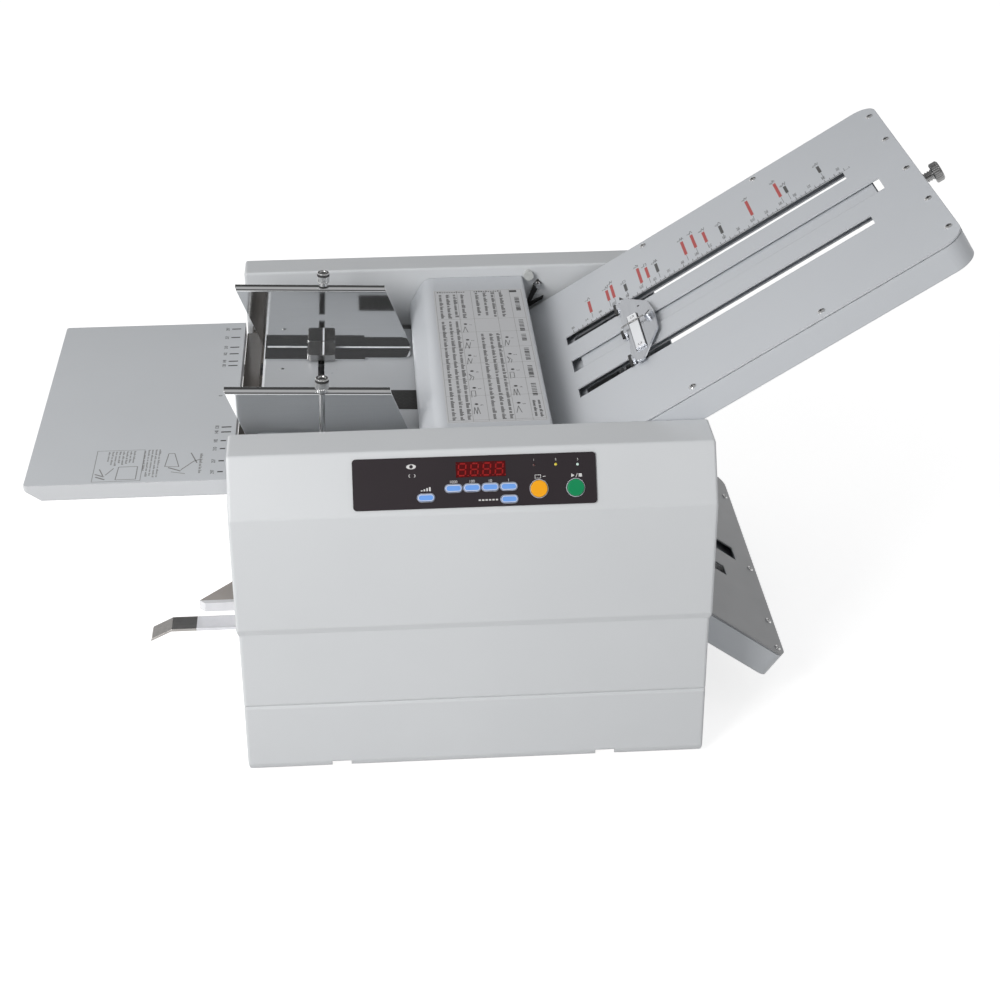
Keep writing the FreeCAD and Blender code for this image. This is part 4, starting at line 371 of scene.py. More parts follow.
# painted reflection: a pale band on the lever's strip
addZone("leverSteel", [("X", -40, 20)], (0.8, 0.81, 0.85, 1), 0.1)
# painted shade: a dark tone on the flange under the table's edge
addZone("guardSteel", [("Z", 233, 240)], (0.15, 0.138, 0.128, 1), 0.2)
addZone("guardSteel", [("X", -60, 4.9), ("Z", 80, 150)], (0.5, 0.465, 0.44, 1), 0.2)  # guard's top: painted brownish reflection
# painted highlight: a near-white tone on the guard's rolled front edge
addZone("guardSteel", [("X", -60, 4.9), ("Z", 80, 150), ("Y", -150, -137.2)], (0.88, 0.89, 0.92, 1),
    0.1)


sideRange = (0.3, 0.8)


def shadeSides(name, color, amount):  # hems and cut edges: upright faces in a darker tone of painted shade
    tree = finishes[name].node_tree
    shader = tree.nodes["Principled BSDF"]
    before = shader.inputs["Base Color"].links[0].from_socket
    normal = addNode(tree, "NewGeometry").outputs["Normal"]
    upright = mathNode(tree, "ABSOLUTE", addNode(tree, "SeparateXYZ", {0: normal}).outputs["Z"])
    side = spread(tree, upright, amount, 0, *sideRange)
    tree.links.new(blendColor(tree, side, before, color), shader.inputs["Base Color"])


# painted shade on the tray's upright hems and edges
shadeSides("trayPaint", (0.55, 0.565, 0.585, 1), 0.9)


bracket = dict(washer=(278.5, 284, 5.2), pin=(287.5, 274, 3), noise=300, black=0.018, shade=0.01,
    zinc=[(0.46, 0.48, 0.47, 1), (0.62, 0.64, 0.63, 1)], chrome=0.75, gloss=(0.38, 0.12))


def makeBracketFinish():  # black straps, a pale washer and a bright pin in one node
    tree, shader = newMaterial("bracketFinish", Coat_Weight=0.2)
    skin = placeGroup(tree, finePaint, Color=gray(bracket["black"]), Shade=gray(bracket["shade"]),
        Gloss=0.4, Vary=0.06)
    place = objectPlace(tree)
    flat = addNode(tree, "VectorMath", {0: place, 1: (1, 0, 1)}, operation="MULTIPLY").outputs[0]
    masks = []
    for x, z, radius in (bracket["washer"], bracket["pin"]):
        centre = machineFrame @ Vector((x, 0, z))
        away = addNode(tree, "VectorMath", {0: flat, 1: (centre.x, 0, centre.z)},
            operation="DISTANCE").outputs["Value"]
        masks.append(mathNode(tree, "LESS_THAN", away, radius * millimetre))
    washer = blendColor(tree, noise(tree, place, bracket["noise"]), *bracket["zinc"])
    color = blendColor(tree, masks[0], skin.outputs["Color"], washer)
    color = blendColor(tree, masks[1], color, gray(bracket["chrome"]))
    tree.links.new(color, shader.inputs["Base Color"])
    tree.links.new(masks[1], shader.inputs["Metallic"])
    tree.links.new(spread(tree, masks[1], *bracket["gloss"]), shader.inputs["Roughness"])
    bumpInto(tree, shader, skin.outputs["Height"], 0.1, 0.0002)


makeBracketFinish()
print("finishes made")

nodeFinish = dict(
    coverPlastic="front_cover rear_cover",
    tablePaint="feed_table",
    sheetPaint="upper_plate top_cover upper_plate_base lower_plate_base right_end_panel",
    paintedShadeSheet="lower_plate",
    trayPaint="feed_tray tray_rails",
    framePaint="side_frame_front side_frame_rear",
    innerPaint="tray_rail_guide",
    zincSheet="base_pan lift_links exit_chute",
    groundSteel="tie_bars frame_screws lift_shaft feed_shaft motor_pinion",
    satinSteel="guide_block_front guide_block_rear",
    polishedSteel="plate_screws guide_knob_front guide_knob_rear",
    mirrorSheet="guide_front guide_rear",
    leverSteel="release_lever",
    carriageSteel="stop_carriage lower_stop",
    bronze="roller_bearings",
    rollerSteel="fold_roller_1 fold_roller_2 fold_roller_3 fold_roller_4",
    greyRubber="feed_tyres",
    darkRubber="rubber_feet separator_pad",
    gearNylon="roller_gear_1 roller_gear_2 roller_gear_3 roller_gear_4",
    motorPaint="drive_motor",
    bracketFinish="plate_brackets",
    guardSteel="left_end_panel",
    darkChrome="stop_knob",
    blackFilm="control_panel",
    keyBlue="button_speed button_thousands button_hundreds button_tens button_units button_clear",
    keyYellow="button_test",
    keyGreen="button_start",
    boardGreen="control_board",
    inletBlack="power_inlet power_switch",
)
for finish, names in nodeFinish.items():
    for name in names.split():
        slots = nodes[name].data.materials
        slots.clear()
        slots.append(finishes[finish])


# mesh helpers

def meshFrom(form, name, place):
    form.transform(place)
    bmesh.ops.recalc_face_normals(form, faces=form.faces)
    mesh = bpy.data.meshes.new(name)
    form.to_mesh(mesh)
    form.free()
    return mesh


def newPiece(name, form, place, body, slotName, *finishNames, smooth=False):
    mesh = meshFrom(form, name, place)
    for finish in finishNames:
        mesh.materials.append(finishes[finish])
    for face in mesh.polygons:
        face.use_smooth = smooth
    piece = bpy.data.objects.new(name, mesh)
    scene.collection.objects.link(piece)
    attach(piece, body)
    return piece


def addLoop(form, outline, level):
    return [form.verts.new((a, b, level)) for a, b in outline]


def joinLoops(form, one, two, index=0):  # a strip of faces between two loops of points
    for i in range(len(one)):
        j = (i + 1) % len(one)
        form.faces.new((one[i], one[j], two[j], two[i])).material_index = index


def addPrism(form, outline, low, high, index=0):  # a closed plate over an outline
    below, above = addLoop(form, outline, low), addLoop(form, outline, high)
    for cap in (below[::-1], above):
        form.faces.new(cap).material_index = index
    joinLoops(form, below, above, index)


def addRing(form, outer, inner, low, high, index=0):  # a raised rim between two outlines
    corners = ((outer, low), (outer, high), (inner, high), (inner, low))
    loops = [addLoop(form, outline, level) for outline, level in corners]
    for one, two in zip(loops, loops[1:] + loops[:1]):
        joinLoops(form, one, two, index)


def rectangle(a0, b0, a1, b1):
    return [(a0, b0), (a1, b0), (a1, b1), (a0, b1)]


def inset(box, reach):  # the rectangle that lies inside another one, or outside it
    a0, b0, a1, b1 = box
    return rectangle(a0 + reach, b0 + reach, a1 - reach, b1 - reach)


def stroke(a0, b0, a1, b1, width):  # a straight printed line as a thin rectangle
    along = Vector((a1 - a0, b1 - b0)).normalized()
    side = Vector((-along.y, along.x)) * width / 2
    return [(a0 + side.x, b0 + side.y), (a0 - side.x, b0 - side.y), (a1 - side.x, b1 - side.y),
        (a1 + side.x, b1 + side.y)]


def addStroke(form, ends, width, level):
    addPrism(form, stroke(*ends, width), 0, level)


def oval(a, b, halfA, halfB, count):
    turns = [2 * math.pi * i / count for i in range(count)]
    return [(a + halfA * math.cos(t), b + halfB * math.sin(t)) for t in turns]


def pill(a, b, halfLength, halfHeight, count=10):
    straight = halfLength - halfHeight
    points = []
    for side in (1, -1):
        for i in range(count + 1):
            t = math.radians(-90 + 180 * i / count)
            reach = straight + halfHeight * math.cos(t)
            points.append((a + side * reach, b + side * halfHeight * math.sin(t)))
    return points


def addText(form, text, a, b, size, level, turn=0):  # plain numbers
    curve = bpy.data.curves.new("digits", "FONT")
    curve.body, curve.size, curve.align_x, curve.align_y = text, size, "CENTER", "CENTER"
    curve.extrude = level / 2
    holder = bpy.data.objects.new("digits", curve)
    scene.collection.objects.link(holder)
    bpy.context.view_layer.update()
    shown = holder.evaluated_get(bpy.context.evaluated_depsgraph_get())
    mesh = bpy.data.meshes.new_from_object(shown)
    turned = Matrix.Rotation(math.radians(turn), 4, "Z")
    mesh.transform(Matrix.Translation((a, b, level / 2)) @ turned)
    form.from_mesh(mesh)
    bpy.data.objects.remove(holder)
    bpy.data.curves.remove(curve)
    bpy.data.meshes.remove(mesh)


words = dict(lengths=(2, 7), heights=(0.66, 0.66, 0.72, 1), stroke=0.66, space=0.8)


# small print as broken strokes
def addWords(form, column, high, low, tall, letter, level, index=0):
    place = high
    while place - 2 * letter > low:
        for k in range(random.randint(*words["lengths"])):
            end = place - words["stroke"] * letter
            if end < low:
                break
            reach = tall * random.choice(words["heights"])
            addPrism(form, rectangle(column, end, column + reach, place), 0, level, index)
            place -= letter
        place -= words["space"] * letter


def addFold(form, shape, a, b, sizeA, sizeB, width, level):  # a folded sheet seen edge-on
    points = [(a + sizeA * across, b + sizeB * along) for along, across in shape]
    for one, two in zip(points, points[1:]):
        addStroke(form, one + two, width, level)


def addDome(form, a, b, radius, low, height, index=0):
    rings, count = 5, 20
    rows = []
    for k in range(rings):
        t = math.pi / 2 * k / rings
        r = radius * math.cos(t)
        rows.append(addLoop(form, oval(a, b, r, r, count), low + height * math.sin(t)))
    for one, two in zip(rows, rows[1:]):
        joinLoops(form, one, two, index)
    tip = form.verts.new((a, b, low + height))
    for i in range(count):
        form.faces.new((rows[-1][i], rows[-1][(i + 1) % count], tip)).material_index = index
    form.faces.new(rows[0][::-1]).material_index = index


def addBars(form, start, foot, pitch, width, height, count, grow, level):  # a row of small bars
    for k in range(count):
        a = start + pitch * k
        addPrism(form, rectangle(a, foot, a + width, foot + height + grow * k), 0, level)


# control panel: digit window, lamps, key rims and plain marks

panel = dict(
    top=1.2, window=(186.2, 29.4, 226.8, 42), glass=0.25, light=0.05,
    digits=4, digitWidth=7, digitHeight=10.8, digitStart=191.3, digitPitch=10.1,
    segment=1.15, segmentGap=0.12, lean=0.1, point=0.5, pointGap=1.4,
    keys=dict(speed=(161.2, 13.8), thousands=(183.9, 20.7), hundreds=(199, 20.8),
        tens=(213.9, 20.8), units=(229, 20.8), clear=(229.2, 10.5)),
    keyHalf=(6.8, 2.95), keyRim=0.62, border=(0.25, 0.85), borderRise=(-0.3, 0.04),
    rounds=[(253.7, 18.1), (283.8, 18)], roundRadius=6.9, roundRim=0.8,
    rimGap=0.35, rimHeight=0.45, roundCount=40,
    lamps=[(250.2, 37.6), (268.1, 37.6), (286, 37)], lampRadius=1.15,
    lampRim=0.35, lampRimHeight=0.2, lampHeight=0.7, lampCount=20,
)
marks = dict(
    level=0.05, line=0.5, numbers=[("1000", 183.9), ("100", 199), ("10", 213.9), ("1", 229)],
    row=25.9, size=3.3, lampRow=4.1, lampSize=2.6,
    speedBars=(157.2, 19.2, 2.2, 1.4, 0.8, 4, 0.8), clearBars=(204, 9.8, 2.8, 1.8, 1.2, 6, 0),
    eye=(149.9, 39.5), eyeHalf=(4, 2), pupil=1.5, pupilLevel=0.09,
    arcs=(150.4, 32.1), arcHalf=(2.6, 1.6), arcTurns=range(-50, 51, 20),
    sheet=(250.6, 26.6, 255.6, 29.6), sheetLine=0.4, dash=(257, 28.1, 259.6, 28.1),
    arrow=[(280.4, 26.6), (283.2, 28.1), (280.4, 29.6)], slash=(284.2, 26.4, 285.6, 29.8),
    slashLine=0.45, square=(286.6, 26.8, 289.2, 29.4),
)


def buildWindow():
    form = bmesh.new()
    face = panel["top"] + panel["glass"]
    lit = face + panel["light"]
    addPrism(form, rectangle(*panel["window"]), panel["top"], face)
    w, h, s = panel["digitWidth"] / 2, panel["digitHeight"] / 2, panel["segment"] / 2
    x, y = w - s, h - s
    bars = [(-x, y, x, y), (-x, 0, x, 0), (-x, -y, x, -y), (-x, 0, -x, y), (x, 0, x, y),
            (-x, -y, -x, 0), (x, -y, x, 0)]
    middle = (panel["window"][1] + panel["window"][3]) / 2
    for k in range(panel["digits"]):
        a = panel["digitStart"] + k * panel["digitPitch"]
        for a0, b0, a1, b1 in bars:
            cut = Vector((a1 - a0, b1 - b0)).normalized() * (s + panel["segmentGap"])
            points = stroke(a0 + cut.x, b0 + cut.y, a1 - cut.x, b1 - cut.y, 2 * s)
            addPrism(form, [(a + p + panel["lean"] * q, middle + q) for p, q in points], face, lit,
                1)
        size = panel["point"]
        addPrism(form, oval(a + w + panel["pointGap"], middle - h + size, size, size, 12), face,
            lit, 1)
    newPiece("digit_window", form, panelFrame, "machine", "black_film", "lensRed", "segmentRed")


def buildKeyRims():
    form = bmesh.new()
    top, gap, count = panel["top"], panel["rimGap"], panel["roundCount"]
    lift = top + panel["rimHeight"]
    length, height = panel["keyHalf"]
    for a, b in panel["keys"].values():
        outer, inner = [pill(a, b, length + grow, height + grow) for grow in (panel["keyRim"], gap)]
        addRing(form, outer, inner, top, lift)
    for a, b in panel["rounds"]:
        radii = [panel["roundRadius"] + grow for grow in (panel["roundRim"], gap)]
        addRing(form, *[oval(a, b, r, r, count) for r in radii], top, lift)
    newPiece("key_rims", form, panelFrame, "machine", "key_blue", "rimPlastic")

    back = panelFrame.inverted()
    for label, (a, b) in panel["keys"].items():  # pale rings on the keys' chamfers: a painted highlight
        face = max((back @ vertex.co).z for vertex in nodes["button_" + label].data.vertices)
        form = bmesh.new()
        outer, inner = [pill(a, b, length - cut, height - cut) for cut in panel["border"]]
        low, high = panel["borderRise"]
        addRing(form, outer, inner, face + low, face + high)
        newPiece("key_highlight_" + label, form, panelFrame, "key_" + label, "key_blue", "rimPlastic")


def buildLamps():
    form = bmesh.new()
    top, radius, count = panel["top"], panel["lampRadius"], panel["lampCount"]
    for index, (a, b) in enumerate(panel["lamps"]):
        outer, inner = [oval(a, b, r, r, count) for r in (radius + panel["lampRim"], radius)]
        addRing(form, outer, inner, top, top + panel["lampRimHeight"], 3)
        addDome(form, a, b, radius, top, panel["lampHeight"], index)
    newPiece("panel_lamps", form, panelFrame, "machine", "black_film", "ledRed", "ledYellow",
        "ledWhite", "blackPaint", smooth=True)


def buildPanelPrint():
    form = bmesh.new()
    level, line = marks["level"], marks["line"]
    for text, a in marks["numbers"]:
        addText(form, text, a, marks["row"], marks["size"], level)
    addBars(form, *marks["speedBars"], level)
    addPrism(form, oval(*marks["eye"], *marks["eyeHalf"], 24), 0, level)
    (a, b), (halfA, halfB) = marks["arcs"], marks["arcHalf"]
    for side in (-1, 1):
        points = [(a + side * halfA * math.cos(t), b + halfB * math.sin(t))
                  for t in map(math.radians, marks["arcTurns"])]
        for one, two in zip(points, points[1:]):
            addStroke(form, one + two, line, level)
    sheet = marks["sheet"]
    addRing(form, rectangle(*sheet), inset(sheet, marks["sheetLine"]), 0, level)
    addStroke(form, marks["dash"], line, level)
    addPrism(form, marks["arrow"], 0, level)
    addStroke(form, marks["slash"], marks["slashLine"], level)
    addPrism(form, rectangle(*marks["square"]), 0, level)
    for k, (a, b) in enumerate(panel["lamps"]):
        addText(form, str(k + 1), a, b + marks["lampRow"], marks["lampSize"], level)
    addBars(form, *marks["clearBars"], level)
    place = raised(panelFrame, panel["top"])
    newPiece("panel_print", form, place, "machine", "cover_plastic", "inkWhite")

    form = bmesh.new()
    addPrism(form, oval(*marks["eye"], marks["pupil"], marks["pupil"], 20), 0, marks["pupilLevel"])
    newPiece("eye_mark", form, place, "machine", "black_film", "blackFilm")


buildWindow()
buildKeyRims()
buildLamps()
buildPanelPrint()
print("control panel done")


# feed tray: width marks and two plain diagrams

tray = dict(
    top=247, print=0.06, column=-17, textSize=4.6, tick=2,
    marks={"128": 64.3, "148": 74, "182": 90.8, "210": 105.8, "257": 128.7, "297": 148.6},
    long=(-13.2, -4.6), short=(-12.8, -8.2), shortFrom=80,
    box=(-117.8, -160, -76.8, -103), outline=0.45, letter=1.7, tall=1.7, pitch=3.1,
    words=[(-107.8, -105.5, (-128, -130, -132, -128, -130, -132, -128, -130)),
        (-77, -106, (-142,)), (-73.9, -104, (-155, -155, -155, -155))],
    sheets=[[(-98, -157), (-81, -157), (-81, -134), (-97, -134)],
        [(-58, -136), (-56, -112), (-51, -112), (-46, -137)]], sheetLine=0.7,
    signs=[(-116, -146, -108, -151, 1.3), (-113, -137, -109, -149, 0.9),
        (-115, -151, -107, -156, 1.5), (-107, -148, -101, -136, 0.8),
        (-55, -138, -44, -145, 1.5), (-52, -146, -40, -150, 0.8),
        (-44, -143, -34, -128, 0.9), (-37, -112, -31, -131, 1), (-34, -128, -28, -124, 1)],
    lastWords=(-29, -114, -152, 2.6, 1.5),
)


def buildTrayPrint():
    form = bmesh.new()
    level, column, size = tray["print"], tray["column"], tray["textSize"]
    for text, y in tray["marks"].items():
        for side in (-1, 1):
            a0, a1 = tray["short"] if side < 0 and y > tray["shortFrom"] else tray["long"]
            addStroke(form, (a0, side * y, a1, side * y), tray["tick"], level)
            addText(form, text, column, side * y, size, level, 90)
    addText(form, "0", column, 0, size, level, 90)
    place = raised(machineFrame, tray["top"])
    newPiece("tray_marks", form, place, "outer_tray", "black_paint", "inkBlack")

    form = bmesh.new()
    addRing(form, rectangle(*tray["box"]), inset(tray["box"], tray["outline"]), 0, level)
    for first, high, lows in tray["words"]:  # two blocks of small print
        for k, low in enumerate(lows):
            addWords(form, first + tray["pitch"] * k, high, low, tray["tall"], tray["letter"],
                level)
    for corners in tray["sheets"]:
        for one, two in zip(corners, corners[1:] + corners[:1]):
            addStroke(form, one + two, tray["sheetLine"], level)
    for *ends, width in tray["signs"]:  # plain turning and pressing signs
        addStroke(form, ends, width, level)
    addWords(form, *tray["lastWords"], level)
    newPiece("tray_diagram", form, place, "outer_tray", "black_paint", "inkMid")


buildTrayPrint()
print("tray print done")


# loose cover: printed chart with plain folded-sheet signs

chart = dict(
    top=282.5, left=184.5, right=268, low=-141, high=143, margin=1.5,
    film=0.08, print=0.06, line=0.35, tall=3.4, letter=2.1,
    columns=[184.5, 205.6, 219, 241.6, 256.5, 268],
    cells=[75, 45, 10.5, -23.5, -57, -90.5, -138],
    blocks=[
        dict(text=[188, 194.8, 201.6, 208.8], textTop=134, textLow=77,
            lines=[188, 194.8, 201], lineTop=70, column=210, first=0,
            dots=[63.4, 27.6, -6.5, -40.2, -74.9, -107.5], rowStart=186.5),
        dict(text=[223, 230.6, 238.2, 246.2], textTop=137, textLow=78,
            lines=[223, 230.6, 237.2], lineTop=40, column=246.6, first=2,
            dots=[31, -5.9, -39, -73.6, -107.5], rowStart=222),
    ],
    lineLow=3, dot=1.6, sign=(-3, -19), signSize=(9, 13), signLine=0.5,
    number=(4.5, -2), numberSize=4,
    row=139, rowCount=12, rowPitch=2.3, rowWidth=1.5, rowHeights=(1.6, 2.4),
    headingLeft=260.2, headingTall=4.4, headingPitch=3.3, headingStrokes=(1.1, 1.4, 2.3),
    headings=[(124, 89), (70, 43), (37, 19), (6, -21), (-32, -59), (-69, -96)],
    notes=(258.8, 263.4), noteTop=-103, noteLow=4, noteTall=2.8, noteLetter=1.7,
    block=(256.5, 136.5, 263.5, 141),
)
folds = [[(0, 0), (1, 0.25), (0, 0.5)], [(0, 0), (1, 0.2), (0, 0.4), (1, 0.6)],
    [(0, 0), (1, 0.15), (0.1, 0.35), (0.9, 0.55)],
    [(0, 0), (0.5, 0.2), (1, 0), (0.5, 0.45), (0, 0.3)],
    [(0, 0), (1, 0), (1, 0.4), (0.15, 0.4), (0.15, 0.18)],
    [(0, 0), (1, 0.12), (0, 0.3), (1, 0.42), (0, 0.6)]]


def addChartBlock(form, block):
    level, tall, letter = chart["print"], chart["tall"], chart["letter"]
    column = block["column"]
    for k, dotAt in enumerate(block["dots"]):
        addPrism(form, oval(column, dotAt, chart["dot"], chart["dot"], 16), 0, level, 1)
        (a, b), shape = chart["sign"], folds[(k + block["first"]) % len(folds)]
        addFold(form, shape, column + a, dotAt + b, *chart["signSize"], chart["signLine"], level)
        a, b = chart["number"]
        addText(form, str(k + 1), column + a, dotAt + b, chart["numberSize"], level, -90)
    for line in block["lines"]:
        addWords(form, line, block["lineTop"], chart["low"] + chart["lineLow"], tall, letter, level)
    for line in block["text"]:
        addWords(form, line, block["textTop"], block["textLow"], tall, letter, level)
    for k in range(chart["rowCount"]):  # a row of small print along the top
        a, b = block["rowStart"] + chart["rowPitch"] * k, chart["row"]
        high = b + random.choice(chart["rowHeights"])
        addPrism(form, rectangle(a, b, a + chart["rowWidth"], high), 0, level)


def buildChart():
    place = raised(machineFrame, chart["top"])
    left, right, low, high = (chart[side] for side in ("left", "right", "low", "high"))
    level = chart["print"]
    form = bmesh.new()
    addPrism(form, inset((left, low, right, high), -chart["margin"]), 0, chart["film"])
    newPiece("chart_film", form, place, "loose_cover", "sheet_paint", "labelFilm")

    place = raised(place, chart["film"])
    form = bmesh.new()
    for x in chart["columns"]:
        addStroke(form, (x, low, x, high), chart["line"], level)
    for y in chart["cells"] + [high, low]:
        addStroke(form, (left, y, right, y), chart["line"], level)
    newPiece("chart_lines", form, place, "loose_cover", "sheet_paint", "inkFaint")

    form = bmesh.new()
    for block in chart["blocks"]:
        addChartBlock(form, block)
    start, pitch = chart["headingLeft"], chart["headingPitch"]
    end = start + chart["headingTall"]
    for first, last in chart["headings"]:  # bold headings along the right edge
        for k in range(int((first - last) / pitch)):
            top = first - pitch * k
            foot = top - random.choice(chart["headingStrokes"])
            addPrism(form, rectangle(start, foot, end, top), 0, level, 1)
    for column in chart["notes"]:
        addWords(form, column, chart["noteTop"], low + chart["noteLow"], chart["noteTall"],
            chart["noteLetter"], level, 1)
    addPrism(form, rectangle(*chart["block"]), 0, level, 1)
    newPiece("chart_print", form, place, "loose_cover", "black_paint", "inkDark", "inkBlack")


buildChart()
print("chart done")


# upper fold plate: ruler beside the far slot

ruler = dict(
    face=7.25, start=84, end=379, row=64.5, step=5, print=0.06, line=0.3,
    ticks=(5.5, 3.2), tickLine=0.5, firstNumber=60, numberEach=3, numberRow=11,
    numberSize=4.6, half=1.5, label=(-2.6, 4.5), sign=(-1, 3), signSize=(6, 6),
    signLine=0.45, leader=(7.5, -1.5), leaderLine=0.35,
    red=[(105.8, 84.8, 110.5), (125.8, 86.9, 111.3), (131.5, 86.4, 116.8), (161.2, 82.9, 118.4),
        (169.3, 84.9, 109.9), (210.3, 86.3, 118.6), (221.2, 88.6, 120.8), (232.6, 86.6, 111.8),
        (281.6, 85.6, 122.2), (312.4, 88.3, 123.4)],
    dark=[(144.8, 85.2, 101.3), (179.5, 85.3, 105.4), (249.4, 85.4, 104.4), (319.6, 88.3, 105.2),
        (354.7, 89.1, 105.4)],
)


def buildRuler():
    place = raised(upperFrame, ruler["face"])
    level, row, start, end = ruler["print"], ruler["row"], ruler["start"], ruler["end"]
    form = bmesh.new()
    for k in range(int((end - start) / ruler["step"]) + 1):
        past = k * ruler["step"]
        s = start + past
        addStroke(form, (s, row, s, row + ruler["ticks"][k % 2]), ruler["tickLine"], level)
        if k % ruler["numberEach"] == 0:
            addText(form, str(int(ruler["firstNumber"] + past)), s, row + ruler["numberRow"],
                ruler["numberSize"], level, -90)
    addStroke(form, (start, row, end, row), ruler["line"], level)
    for k, (s, low, high) in enumerate(ruler["red"] + ruler["dark"]):
        a, b = ruler["label"]
        addText(form, str(k + 1), s + a, high + b, ruler["numberSize"], level, -90)
        a, b = ruler["sign"]
        addFold(form, folds[k % len(folds)], s + a, high + b, *ruler["signSize"], ruler["signLine"],
            level)
        a, b = ruler["leader"]
        addStroke(form, (s, row + a, s, low + b), ruler["leaderLine"], level)
    newPiece("ruler_marks", form, place, "fold_plate", "black_paint", "inkDark")
    form = bmesh.new()
    for index, bars in enumerate((ruler["red"], ruler["dark"])):
        for s, low, high in bars:
            addPrism(form, rectangle(s - ruler["half"], low, s + ruler["half"], high), 0, level,
                index)
    newPiece("ruler_bars", form, place, "fold_plate", "sheet_paint", "inkRed", "inkDark")


buildRuler()
print("ruler done")


# knurled knobs: two lock nuts on their rods and the knob at the plate's end; profiles are
# (radius, height) pairs, rows inside the knurl range get ridges, and bands get black paint for the
# dark reflections on the chrome

nut = dict(
    place=(56.5, 116.9), ridges=22, depth=0.5, knurl=(67.7, 76.3),
    darkReflectionBands=[(62.7, 63.9), (73.5, 75.7)],
    profile=[(2, 2.8), (2.5, 3.3), (2.5, 62.9), (3.8, 62.9), (4.2, 63.3), (4.2, 63.9), (4.2, 66.9),
        (5.2, 66.9), (5.9, 67.6), (5.9, 67.8), (5.9, 73.5), (5.9, 73.8), (5.9, 75.5),
        (5.9, 75.8), (5.9, 76.2), (5.9, 76.4), (5.2, 77.1), (3.4, 77.1), (3.1, 76.5)],
)
endKnob = dict(
    place=(427.7, 0, -11.25), ridges=30, depth=0.4, knurl=(10.3, 16), darkReflectionBands=[],
    profile=[(2.6, -12), (3, -11.5), (3, 0.3), (4.3, 0.3), (4.8, 0.8),
        (4.8, 2), (4.1, 2.2), (4.1, 3.2), (4.8, 3.4), (4.8, 4.4), (4.1, 4.6), (4.1, 5.6),
        (4.8, 5.8), (4.8, 6.8), (4.1, 7), (4.1, 8), (4.8, 8.2),
        (4.8, 9.3), (8.1, 9.3), (9, 10), (9.3, 10.2), (9.3, 10.4), (9.3, 15.9),
        (9.3, 16.1), (8, 17.5), (6.3, 17.8), (5.3, 17.4), (2.6, 17.4)],
)


def knurled(name, place, knob, body, node, finish):
    form = bmesh.new()
    count = knob["ridges"] * 4
    start, end = knob["knurl"]
    rows = []
    for radius, height in knob["profile"]:
        depth = knob["depth"] if start < height < end else 0
        ring = []
        for i in range(count):
            t, r = 2 * math.pi * i / count, radius - depth * (i % 4 in (0, 1))
            ring.append(form.verts.new((r * math.cos(t), r * math.sin(t), height)))
        rows.append(ring)
    for one, two in zip(rows, rows[1:]):
        middle = (one[0].co.z + two[0].co.z) / 2
        joinLoops(form, one, two, int(any(low < middle < high for low, high in knob["darkReflectionBands"])))
    form.faces.new(rows[0][::-1])
    form.faces.new(rows[-1])
    piece = newPiece(name, form, place, body, "polished_steel", finish, "inkBlack")
    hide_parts(node)


for side, label in ((-1, "front"), (1, "rear")):
    a, b = nut["place"]
    knurled("lock_knob_" + label, tableFrame @ Matrix.Translation((a, side * b, 0)), nut,
        label + "_lock", "guide_knob_" + label, "polishedSteel")
turnX = Matrix.Rotation(math.radians(90), 4, "Y")
knurled("end_knob_turned", upperFrame @ Matrix.Translation(endKnob["place"]) @ turnX, endKnob,
    "end_knob", "stop_knob", "darkChrome")
print("knobs done")


# screws: low domed heads on the plates and the table, with a black cross painted for the shade in
# the cross recess

screws = {  # body, frame, level of the face, radius, height and places
    "plate_screw_heads": ("fold_plate", upperFrame, 7.25, 3.4, 1.4, [
        (419.7, 142.5), (419.7, 77), (419.7, -1), (419.7, -77), (419.7, -142.5),
        (296.7, -159), (296.7, 159), (173.7, -159), (173.7, 159)]),
    "lower_screw_heads": ("machine", lowerFrame, 7.25, 3.2, 1.2, [
        (246, 125.5), (246, -20), (246, -114.5), (246, -160)]),
    "table_screw_heads": ("table", tableFrame, 0, 2, 0.15, [
        (18, 66), (18, -66), (150, 150), (150, -150)]),
}
# shares of a screw's radius and height
head = dict(rows=[(1, 0), (1, 0.45), (0.85, 0.8), (0.55, 1)], count=24, arm=(0.62, 0.15),
    armRise=(-0.02, 0.03))


def addScrewHead(form, place, radius, height):
    start = len(form.verts)
    loops = [addLoop(form, oval(0, 0, radius * wide, radius * wide, head["count"]), height * tall)
             for wide, tall in head["rows"]]
    for one, two in zip(loops, loops[1:]):
        joinLoops(form, one, two)
    form.faces.new(loops[0][::-1])
    form.faces.new(loops[-1])
    # painted shade: the cross recess as two thin black bars
    low, high = head["armRise"]
    for wide, tall in (head["arm"], head["arm"][::-1]):
        a, b = radius * wide, radius * tall
        addPrism(form, rectangle(-a, -b, a, b), height + low, height + high, 1)
    form.verts.ensure_lookup_table()
    bmesh.ops.transform(form, matrix=place, verts=form.verts[start:])


for name, (body, place, level, radius, height, spots) in screws.items():
    form = bmesh.new()
    for a, b in spots:
        addScrewHead(form, place @ Matrix.Translation((a, b, level)), radius, height)
    piece = newPiece(name, form, Matrix(), body, "polished_steel", "polishedSteel", "blackPaint")
    if name == "plate_screw_heads":
        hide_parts("plate_screws")
print("screws done")


# grip pad in the feed table

pad = dict(place=117, length=51.4, width=39.4, low=-0.75, top=0.35, teeth=10, ribs=8, ribStart=4.7,
    ribPitch=6, border=2, reach=2.2, rib=0.9, ribRise=(-0.02, 0.25))


